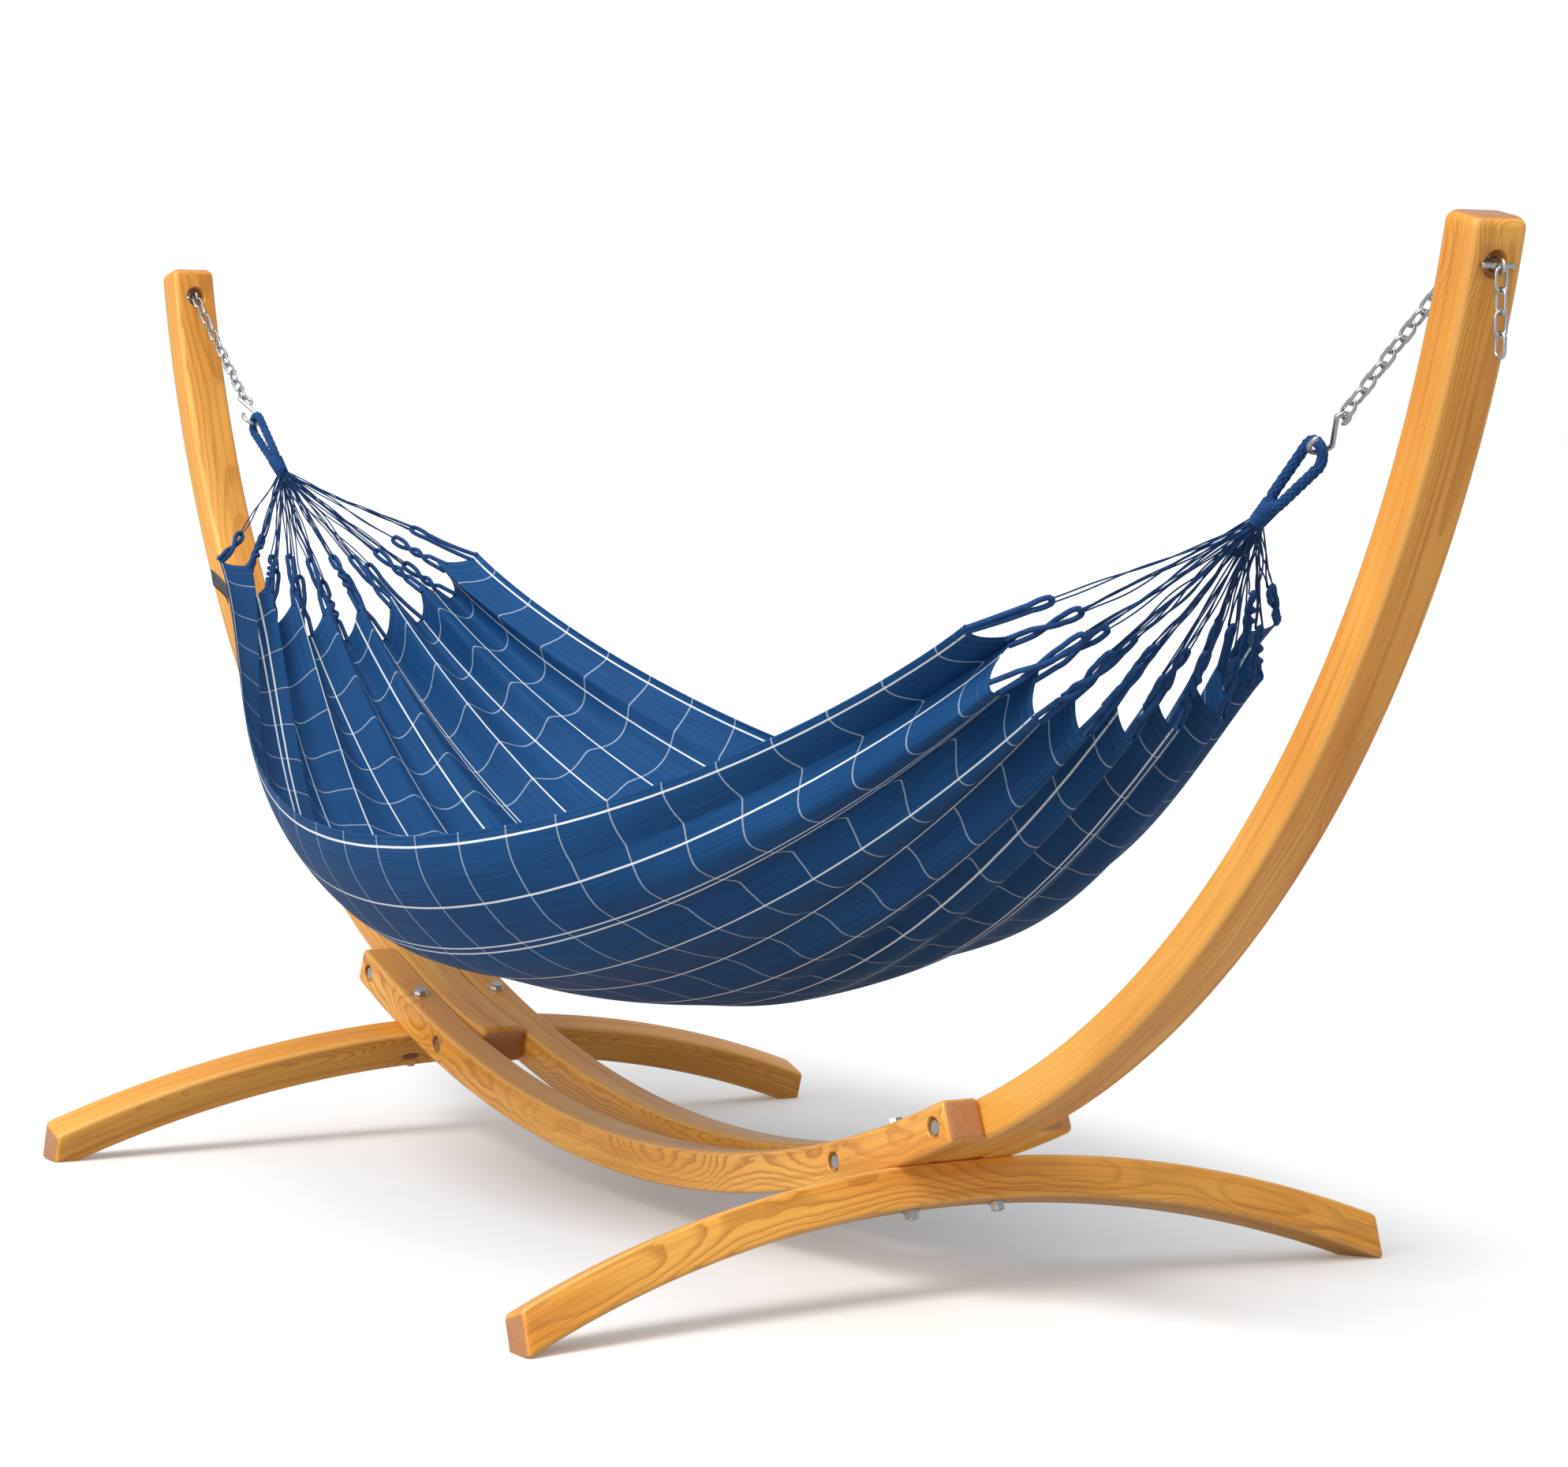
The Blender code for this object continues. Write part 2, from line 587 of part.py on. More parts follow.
def make_label():
    """Plain woven label sewn to the rim near the left end."""
    near = cloth_point(-0.95, -1)
    far = cloth_point(-0.88, -1)
    middle = (near + far) / 2
    mesh = bpy.data.meshes.new("hammock_label")
    work = bmesh.new()
    bmesh.ops.create_cube(work, size=1.0)
    bmesh.ops.scale(work, verts=work.verts, vec=LABEL_SIZE)
    work.to_mesh(mesh)
    work.free()
    label = add_object("hammock_label", mesh, LABEL)
    away = -Y_AXIS
    along = (far - near).normalized()
    up = along.cross(away).normalized()
    if up.z < 0:
        up = -up
    place = middle + away * (CLOTH_THICKNESS / 2 + LABEL_SIZE[1] / 2 + 0.006) + up * (LABEL_SIZE[2] * 0.3)
    label.matrix_world = frame_matrix(place, along, up.cross(along))


def build():
    for row in ROWS:
        make_rail(row)
    for side_name in SIDES:
        make_arm(side_name)
        make_foot(side_name)
        make_arm_fasteners(side_name)
        make_foot_fasteners(side_name)
        make_suspension(side_name, make_chain(side_name))
    make_bed()
    make_label()


build()
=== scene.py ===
"""Looks of the hammock on its curved larch stand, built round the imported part.

Lengths are in metres, in the part's own frame: X along the stand, Y across it, Z up.
"""
import math

import bmesh
import bpy
import numpy as np
from mathutils import Matrix, Vector


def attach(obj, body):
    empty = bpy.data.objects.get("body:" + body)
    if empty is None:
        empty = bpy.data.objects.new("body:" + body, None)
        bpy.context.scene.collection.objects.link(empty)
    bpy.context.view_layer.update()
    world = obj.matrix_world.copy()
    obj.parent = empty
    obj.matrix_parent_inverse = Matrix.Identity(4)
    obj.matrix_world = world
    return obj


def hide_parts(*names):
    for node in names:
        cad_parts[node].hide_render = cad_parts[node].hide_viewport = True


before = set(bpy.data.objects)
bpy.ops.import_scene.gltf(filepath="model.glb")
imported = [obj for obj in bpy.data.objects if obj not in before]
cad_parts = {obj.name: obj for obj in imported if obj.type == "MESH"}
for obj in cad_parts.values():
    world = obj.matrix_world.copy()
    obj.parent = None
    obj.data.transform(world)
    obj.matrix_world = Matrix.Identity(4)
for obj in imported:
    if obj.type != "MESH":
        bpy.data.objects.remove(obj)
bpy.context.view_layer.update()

RNG = np.random.default_rng(11)

# -------- sizes, as in the part
GAP = 0.0003
RAIL_RADIUS = 2.200
RAIL_THICKNESS = 0.056
RAIL_WIDTH = 0.056
RAIL_HALF_ANGLE = 22.86
FLOOR_GAP = 0.053
ARM_RADIUS = 1.540
ARM_THICKNESS = 0.056
ARM_WIDTH = 0.075
ARM_TANGENT_ANGLE = 22.0
ARM_LOW_ANGLE = 10.9
ARM_TIP_ANGLE = 78.3
HOLE_ANGLE = 76.4
HOLE_RADIUS = 0.0155
FOOT_ANGLE = 18.66
FOOT_ARCH_RADIUS = 1.677
FOOT_THICKNESS = 0.056
FOOT_WIDTH = 0.054
FOOT_HALF_LENGTH = 0.648
FOOT_SEAT_HALF = 0.100
SHANK_HOLE_RADIUS = 0.0053
ARM_BOLT_ANGLES = (15.4, 22.0)
COUNTERBORE_RADIUS = 0.0135
COUNTERBORE_DEPTH = 0.0120
WIRE_RADIUS = 0.00225
LINK_PITCH = 0.0225
LINK_WIDTH = 0.0190
CHAIN_LINKS = 12
CHAIN_SLOPE = 40.0
TAIL_LINKS = 4
ANCHOR_LINKS = 3
PIN_RADIUS = 0.0033
PIN_LENGTH = 0.046
HOOK_WIRE = 0.0032
HOOK_EYE = 0.0105
HOOK_BOW = 0.0165
HOOK_LENGTH = 0.0685
HOOK_PLAY = 0.0009
LOOP_BAND = 0.0070
LOOP_BOW = 0.0170
LOOP_NECK = 0.0090
LOOP_LENGTH = 0.0830
LOOP_SLOPE = 37.0
COLLAR_RADIUS = 0.0130
CLOTH_END_X = 1.100
CLOTH_END_X_MIDDLE = 1.112
RIM_HALF_WIDTH = 0.520
RIM_HALF_WIDTH_END = 0.200
RIM_HEIGHT = 0.560
RIM_HEIGHT_END = 0.890
BED_HEIGHT = 0.300
BED_HEIGHT_END = 0.775
PLEATS = 8
PLEAT_DEPTH = 0.034

RAIL_CENTRE_Z = FLOOR_GAP + RAIL_RADIUS + RAIL_THICKNESS / 2
RAIL_OUTER_RADIUS = RAIL_RADIUS + RAIL_THICKNESS / 2
RAIL_Y = ARM_WIDTH / 2 + GAP + RAIL_WIDTH / 2
ARM_CENTRE_X = (RAIL_RADIUS - ARM_RADIUS) * math.sin(math.radians(ARM_TANGENT_ANGLE))
ARM_CENTRE_Z = RAIL_CENTRE_Z - (RAIL_RADIUS - ARM_RADIUS) * math.cos(math.radians(ARM_TANGENT_ANGLE))
LINK_HALF = LINK_PITCH / 2 + WIRE_RADIUS
LINK_BEND = LINK_WIDTH / 2 - WIRE_RADIUS
FREE_STEP = LINK_PITCH - GAP
JOINED_STEP = LINK_PITCH + 0.0006

# -------- sizes that only the looks have
WOOD_EDGE = 0.0065           # rounding along the beams
ARM_EDGE = 0.0095
RAIL_END_EDGE = 0.0090       # rounding of the beams' ends
ARM_END_EDGE = 0.0130
CORNER_POINTS = 6            # of every rounded edge
CREASE_ANGLE = 38            # wood's edges sharper than this stay crisp
CUTTER_REACH = 0.06          # from a beam's middle to the end of a hole's cutter
BORE_BEVEL = 0.0014          # widening of a counterbore at its rim
LAMINATION = 0.014           # one glued layer of a beam
GLUE_HALF_WIDTH = 0.0005
LINE_BLUR = 0.0006           # soft border of drawn lines
LINK_WIRE = WIRE_RADIUS * 0.96    # thinner than the part's, so links never graze
CLOTH_WIDTH = 1.290          # cut size of the cloth, selvedge to selvedge
CLOTH_LENGTH = 2.440
CLOTH_THICKNESS = 0.0011
SCALLOP = 0.0035             # bulge of the hem between its pleats
SELVEDGE_LINE = 0.016        # outermost white line, from the edge
CHECK_COLUMNS = 13           # spaces between the lengthwise white lines
LENGTHWISE_LINE = 0.0014     # half widths of the white lines
CROSSWISE_LINE = 0.0010
PAIRED_LINE = 0.0012
PAIR_SHIFT = 0.0125          # a paired line, from the middle of its space
STITCH_ROWS = (0.007, 0.024)      # from the hemmed end
STITCHES_PER_METRE = 250.0
LABEL_SPAN = (-0.935, -0.895)     # along the cloth, as shares of half its length
LABEL_HEIGHT = 0.029
LABEL_TUCK = 0.007           # of the label below the rim
LABEL_THICKNESS = 0.0006
BRAID_LENGTH = 0.125
BRAID_RADIUS = 0.0038
STRING_RADIUS = 0.00110
FAN_RADIUS = 0.0068          # of the bundle of strings in the collar
SPIRAL_TURN = 2.4            # from one string of the bundle to the next, in radians
HEM_LIMIT = 0.992            # outermost root of a braid, as a share of the half width
COLLAR_WINDINGS = 11

LARCH_LIGHT = (0.840, 0.412, 0.074)
LARCH_AMBER = (0.705, 0.276, 0.032)
LARCH_BROWN = (0.380, 0.118, 0.014)
WARM_LIGHT = (1.0, 0.985, 0.96)
CAMERA_PLACE = (5.47259, -3.07040, 1.16847)
CAMERA_RIGHT = (0.509506, 0.860438, 0.007086)
CAMERA_UP = (-0.070952, 0.033804, 0.996907)
CAMERA_LENS = 102.07
FLOOR_HALF = 60
FLOOR_DROP = 0.0005          # keeps the floor off the feet

X_AXIS = np.array((1.0, 0.0, 0.0))
Y_AXIS = np.array((0.0, 1.0, 0.0))
Z_AXIS = np.array((0.0, 0.0, 1.0))
SIDES = {"left": -1, "right": 1}
ROWS = {"front": -1, "rear": 1}


# -------- mesh helpers

class Soup:
    """Vertices and faces of one mesh, gathered grid by grid."""

    def __init__(self):
        self.verts = []
        self.faces = []
        self.count = 0

    def grid(self, points, wrap_rows=False, wrap_cols=False, caps=False):
        points = np.asarray(points, float)
        rows, cols = points.shape[:2]
        index = self.count + np.arange(rows * cols).reshape(rows, cols)
        self.verts.append(points.reshape(-1, 3))
        self.count += rows * cols
        ring = np.vstack((index, index[:1])) if wrap_rows else index
        ring = np.hstack((ring, ring[:, :1])) if wrap_cols else ring
        quads = np.stack((ring[:-1, :-1], ring[1:, :-1], ring[1:, 1:], ring[:-1, 1:]), axis=-1)
        self.faces.extend(quads.reshape(-1, 4).tolist())
        if caps:
            self.faces.append(index[0].tolist())
            self.faces.append(index[-1][::-1].tolist())

    def build(self, name, material=None, uvs=None, sharp=None):
        mesh = bpy.data.meshes.new(name)
        mesh.from_pydata(np.vstack(self.verts).tolist(), [], self.faces)
        if uvs is not None:
            layer = mesh.uv_layers.new(name="flat")
            corners = np.zeros(len(mesh.loops), np.int32)
            mesh.loops.foreach_get("vertex_index", corners)
            layer.data.foreach_set("uv", uvs[corners].astype(np.float32).ravel())
        return place(name, mesh, material, sharp)


def place(name, mesh, material, sharp=None):
    work = bmesh.new()
    work.from_mesh(mesh)
    bmesh.ops.recalc_face_normals(work, faces=work.faces)
    work.to_mesh(mesh)
    work.free()
    mesh.shade_smooth()
    if sharp is not None:
        mesh.set_sharp_from_angle(angle=math.radians(sharp))
    item = bpy.data.objects.new(name, mesh)
    bpy.context.scene.collection.objects.link(item)
    if material is not None:
        mesh.materials.append(material)
    return item


def thicken(sheet, thickness):
    shell = sheet.modifiers.new("shell", "SOLIDIFY")
    shell.thickness = thickness
    shell.offset = 0
    return sheet


def unit(vector):
    vector = np.asarray(vector, float)
    return vector / np.linalg.norm(vector)


def tangents_of(path, closed):
    if closed:
        steps = np.roll(path, -1, axis=0) - np.roll(path, 1, axis=0)
    else:
        steps = np.gradient(path, axis=0)
    return steps / np.linalg.norm(steps, axis=1)[:, None]


def frames_along(path, closed=False, flat_normal=None):
    """Two directions square to a path at each of its points, turning as little as they can."""
    tangents = tangents_of(path, closed)
    if flat_normal is not None:
        first = np.tile(unit(flat_normal), (len(path), 1))
        return first, np.cross(tangents, first)
    start = np.cross(tangents[0], Z_AXIS if abs(tangents[0][2]) < 0.8 else X_AXIS)
    normals = [unit(start)]
    for tangent in tangents[1:]:
        last = normals[-1]
        normals.append(unit(last - tangent * last.dot(tangent)))
    first = np.array(normals)
    return first, np.cross(tangents, first)


def arc_lengths(path):
    return np.concatenate(([0.0], np.cumsum(np.linalg.norm(np.diff(path, axis=0), axis=1))))


def resample(path, step):
    path = np.asarray(path, float)
    lengths = arc_lengths(path)
    count = max(3, int(round(lengths[-1] / step)) + 1)
    marks = np.linspace(0, lengths[-1], count)
    return np.stack([np.interp(marks, lengths, path[:, axis]) for axis in range(3)], axis=1)


def add_tube(soup, path, radius, sides, closed=False, flat_normal=None, relief=None):
    """Tube along a path; relief(lengths, angles) scales the radius over its surface."""
    path = np.asarray(path, float)
    first, second = frames_along(path, closed, flat_normal)
    angles = np.linspace(0, 2 * math.pi, sides, endpoint=False)
    radii = np.broadcast_to(np.asarray(radius, float), (len(path),))[:, None] * np.ones(sides)
    if relief is not None:
        radii = radii * relief(arc_lengths(path)[:, None], angles[None, :])
    ring = (path[:, None, :] + radii[..., None] * (np.cos(angles)[None, :, None] * first[:, None, :]
                                                   + np.sin(angles)[None, :, None] * second[:, None, :]))
    soup.grid(ring, wrap_rows=closed, wrap_cols=True, caps=not closed)


def rope_relief(pitch, lobes, depth, start=0.0):
    """Surface of strands twisted together."""
    def relief(lengths, angles):
        turn = start + 2 * math.pi * lengths / pitch
        return 1 - depth + depth * np.abs(np.cos(lobes / 2 * (angles - turn)))
    return relief


def knit_relief(pitch, around, depth):
    """Surface of a braided wrapping: raised stitches in a diamond pattern."""
    def relief(lengths, angles):
        turn = 2 * math.pi * lengths / pitch
        stitches = np.abs(np.sin((around * angles + turn) / 2) * np.sin((around * angles - turn) / 2))
        return 1 - 2 * depth + 2 * depth * stitches ** 0.6
    return relief


# -------- shader helpers

class Shader:
    """A material, with short calls for its nodes."""

    def __init__(self, name):
        self.material = bpy.data.materials.new(name)
        self.material.use_nodes = True
        self.tree = self.material.node_tree
        self.surface = self.tree.nodes["Principled BSDF"]

    def feed(self, socket, value):
        if isinstance(value, bpy.types.NodeSocket):
            self.tree.links.new(value, socket)
        elif value is not None:
            socket.default_value = value

    def node(self, kind, inputs=(), **settings):
        made = self.tree.nodes.new(kind)
        for key, value in settings.items():
            setattr(made, key, value)
        for key, value in dict(inputs).items():
            self.feed(made.inputs[key], value)
        return made

    def math(self, operation, a, b=None, c=None):
        made = self.node("ShaderNodeMath", operation=operation)
        for socket, value in zip(made.inputs, (a, b, c)):
            self.feed(socket, value)
        return made.outputs[0]

    def times(self, a, b):
        return self.math("MULTIPLY", a, b)

    def times_plus(self, a, b, c):
        return self.math("MULTIPLY_ADD", a, b, c)

    def hypot(self, a, b):
        return self.math("SQRT", self.math("ADD", self.times(a, a), self.times(b, b)))

    def here(self):
        """The point being shaded, in the frame of its mesh."""
        return self.node("ShaderNodeTexCoord").outputs["Object"]

    def dot(self, a, b):
        made = self.node("ShaderNodeVectorMath", {0: a, 1: b}, operation="DOT_PRODUCT")
        return made.outputs["Value"]

    def join(self, x, y, z):
        return self.node("ShaderNodeCombineXYZ", {0: x, 1: y, 2: z}).outputs[0]

    def scaled(self, vector, scale):
        made = self.node("ShaderNodeVectorMath", {0: vector, 1: scale}, operation="MULTIPLY")
        return made.outputs[0]

    def noise(self, vector, scale=1.0, detail=2.0, roughness=0.5):
        made = self.node("ShaderNodeTexNoise", {"Vector": vector, "Scale": scale, "Detail": detail,
                                                "Roughness": roughness})
        return made.outputs["Fac"]

    def ramp(self, value, low, high, low_out=0.0, high_out=1.0):
        made = self.node("ShaderNodeMapRange", {"Value": value, "From Min": low, "From Max": high,
                                                "To Min": low_out, "To Max": high_out})
        made.interpolation_type = "SMOOTHSTEP"
        return made.outputs["Result"]

    def mix(self, share, a, b):
        made = self.node("ShaderNodeMix", data_type="RGBA", clamp_result=False)
        self.feed(made.inputs[0], share)
        for socket, value in ((made.inputs[6], a), (made.inputs[7], b)):
            self.feed(socket, (*value, 1.0) if isinstance(value, tuple) else value)
        return made.outputs[2]

    def bump(self, height, distance, strength=1.0, normal=None):
        made = self.node("ShaderNodeBump", {"Height": height, "Distance": distance, "Strength": strength})
        if normal is not None:
            self.feed(made.inputs["Normal"], normal)
        return made.outputs["Normal"]

    def finish(self, **inputs):
        for key, value in inputs.items():
            value = (*value, 1.0) if isinstance(value, tuple) and len(value) == 3 else value
            self.feed(self.surface.inputs[key.replace("_", " ")], value)
        return self.material


def line_factor(s, coordinate, offset, pitch, half_width):
    """1 on lines that repeat every pitch along a coordinate, 0 between them."""
    shifted = s.math("ADD", coordinate, pitch * 200.5 - offset)
    away = s.math("ABSOLUTE", s.math("SUBTRACT", s.math("MODULO", shifted, pitch), pitch / 2))
    return s.ramp(away, half_width, half_width + LINE_BLUR, 1.0, 0.0)


def single_line(s, coordinate, at, half_width):
    """1 on one line across a coordinate, 0 away from it."""
    away = s.math("ABSOLUTE", s.math("SUBTRACT", coordinate, at))
    return s.ramp(away, half_width, half_width + LINE_BLUR, 1.0, 0.0)


# -------- materials

def wood_material(name, centre, down, level, across, radius, half_height, half_width, pith, seed, tint,
                  wander, contrast, seams):
    """Oiled larch whose grain follows the beam's arc.

    The arc's centre, its downward and level directions and the direction across it turn a point
    into a length along the beam, a place across it and a height in it.
    """
    s = Shader(name)
    here = s.here()
    offset = s.node("ShaderNodeVectorMath", {0: here, 1: tuple(centre)}, operation="SUBTRACT").outputs[0]
    u = s.dot(offset, tuple(down))
    v = s.dot(offset, tuple(level))
    wide = s.dot(offset, tuple(across))
    reach = s.hypot(u, v)
    turn = s.math("ARCTAN2", v, u)
    along = s.math("ADD", s.times(turn, radius), seed)
    high = s.math("SUBTRACT", reach, radius)
    beam = s.join(along, wide, high)

    knots = s.node("ShaderNodeTexVoronoi", {"Vector": s.scaled(beam, (3.2, 9.0, 9.0)), "Scale": 1.0})
    rare = s.ramp(s.node("ShaderNodeSeparateColor", {0: knots.outputs["Color"]}).outputs[0], 0.52, 0.56)
    knot_reach = knots.outputs["Distance"]
    swirl = s.times(rare, s.ramp(knot_reach, 0.04, 0.34, 1.0, 0.0))
    knot = s.times(rare, s.ramp(knot_reach, 0.035, 0.062, 1.0, 0.0))

    drift = s.noise(s.join(s.times(along, 1.7), seed, 0.0), detail=2.5)
    drift_b = s.noise(s.join(s.times(along, 1.1), seed + 7.0, 3.0), detail=2.0)
    wobble = s.noise(s.scaled(beam, (7.0, 22.0, 22.0)), detail=3.0)
    da = s.math("SUBTRACT", wide, s.times_plus(drift, 0.13 * wander, pith[0] - 0.065 * wander))
    dh = s.math("SUBTRACT", high, s.times_plus(drift_b, 0.11 * wander, pith[1] - 0.055 * wander))
    distance = s.hypot(da, dh)
    distance = s.times_plus(wobble, 0.010 * wander, distance)
    distance = s.times_plus(swirl, 0.020, distance)
    ring = s.math("FRACT", s.times(distance, 300.0))
    late = s.times(s.ramp(ring, 0.42, 0.90), s.ramp(ring, 0.93, 1.0, 1.0, 0.0))
    fine = s.noise(s.scaled(beam, (9.0, 900.0, 900.0)), detail=2.0)
    streak = s.noise(s.scaled(beam, (3.0, 120.0, 120.0)), detail=3.0)
    cloud = s.noise(s.scaled(beam, (2.2, 14.0, 14.0)), detail=2.0)
    presence = s.ramp(s.noise(s.scaled(beam, (1.6, 9.0, 9.0)), detail=1.0), 0.35, 0.62, 0.35, 1.0)

    light, amber, brown = (tuple(c * t for c, t in zip(shade, tint))
                           for shade in (LARCH_LIGHT, LARCH_AMBER, LARCH_BROWN))
    colour = s.mix(s.ramp(cloud, 0.32, 0.70), light, amber)
    colour = s.mix(s.times(s.ramp(streak, 0.45, 0.75), 0.40), colour, brown)
    colour = s.mix(s.times(s.times(late, presence), contrast), colour, brown)
    colour = s.mix(s.times(s.ramp(fine, 0.40, 0.70), 0.16), colour, (0.88, 0.50, 0.14))
    colour = s.mix(s.times(knot, 0.85), colour, (0.130, 0.042, 0.014))
    colour = s.mix(s.times(s.math("SUBTRACT", swirl, knot), 0.22), colour, (0.42, 0.13, 0.03))

    glue = single_line(s, high, 0.0, GLUE_HALF_WIDTH)
    for layer in (-LAMINATION, LAMINATION):
        glue = s.math("MAXIMUM", glue, single_line(s, high, layer, GLUE_HALF_WIDTH))
    glue = s.times(glue, s.ramp(cloud, 0.25, 0.70, 0.35, 1.0))
    colour = s.mix(s.times(glue, seams), colour, (0.150, 0.050, 0.016))

    facing = s.node("ShaderNodeNewGeometry").outputs["Normal"]
    sine = s.math("SINE", turn)
    cosine = s.math("COSINE", turn)
    lengthwise = s.math("SUBTRACT", s.times(s.dot(facing, tuple(level)), cosine),
                        s.times(s.dot(facing, tuple(down)), sine))
    end = s.ramp(s.math("ABSOLUTE", lengthwise), 0.72, 0.93)
    pores = s.noise(s.scaled(beam, (520.0, 640.0, 640.0)), detail=2.0)
    end_colour = s.mix(s.ramp(pores, 0.35, 0.68), (0.520, 0.240, 0.100), (0.400, 0.165, 0.066))
    end_colour = s.mix(s.times(late, 0.38), end_colour, (0.20, 0.080, 0.028))
    colour = s.mix(end, colour, end_colour)
    side_edge = s.ramp(s.math("ABSOLUTE", wide), half_width - 0.0035, half_width - 0.0005)
    high_edge = s.ramp(s.math("ABSOLUTE", high), half_height - 0.0070, half_height - 0.0015)
    # Paler colour along the beam's rounded long edges, mottled by the cloud noise.
    pale_edges = s.times(s.math("MINIMUM", s.ramp(s.math("ABSOLUTE", wide), half_width - 0.010,
                                                        half_width - 0.002), high_edge),
                  s.ramp(cloud, 0.25, 0.6, 0.3, 1.0))
    colour = s.mix(s.times(pale_edges, 0.34), colour, (0.92, 0.58, 0.22))

    relief = s.times_plus(late, -0.5, s.times(fine, 0.5))
    relief = s.times_plus(knot, -0.6, relief)
    rough = s.times_plus(streak, 0.22, s.times_plus(side_edge, -0.03, 0.30))
    return s.finish(Base_Color=colour, Roughness=rough, Specular_IOR_Level=0.25, Coat_Weight=0.28,
                    Coat_Roughness=0.18, Normal=s.bump(relief, 0.00035, 0.45))


def zinc_material(name, colour, roughness, dull=0.0):
    s = Shader(name)
    here = s.here()
    blotch = s.noise(here, 260.0, 3.0)
    scratch = s.noise(s.scaled(here, (900.0, 2400.0, 900.0)), 1.0, 2.0)
    grime = s.ramp(s.noise(here, 70.0, 4.0, 0.6), 0.50, 0.74)
    tone = s.mix(s.ramp(blotch, 0.3, 0.7), colour, tuple(c * 0.80 for c in colour))
    tone = s.mix(s.times(grime, 0.25 + dull), tone, (0.24, 0.235, 0.225))
    rough = s.times_plus(blotch, 0.22, roughness - 0.06)
    rough = s.times_plus(grime, 0.16, rough)
    height = s.times_plus(scratch, 0.4, blotch)
    return s.finish(Base_Color=tone, Roughness=rough, Metallic=1.0, Normal=s.bump(height, 0.00012, 0.5))


def cord_material(name, colour, bright):
    """Spun polyester-cotton cord: fibres, slight fuzz and a soft sheen."""
    s = Shader(name)
    here = s.here()
    fibre = s.noise(s.scaled(here, (1500.0, 1500.0, 1500.0)), 1.0, 3.0)
    patch = s.noise(here, 90.0, 3.0)
    tone = s.mix(s.ramp(fibre, 0.34, 0.68), colour, bright)
    tone = s.mix(s.ramp(patch, 0.4, 0.75, 0.0, 0.45), tone, tuple(c * 0.55 for c in colour))
    return s.finish(Base_Color=tone, Roughness=0.78, Specular_IOR_Level=0.16, Sheen_Weight=0.12,
                    Sheen_Tint=(0.3, 0.55, 1.0), Sheen_Roughness=0.4, Normal=s.bump(fibre, 0.0004, 0.6))


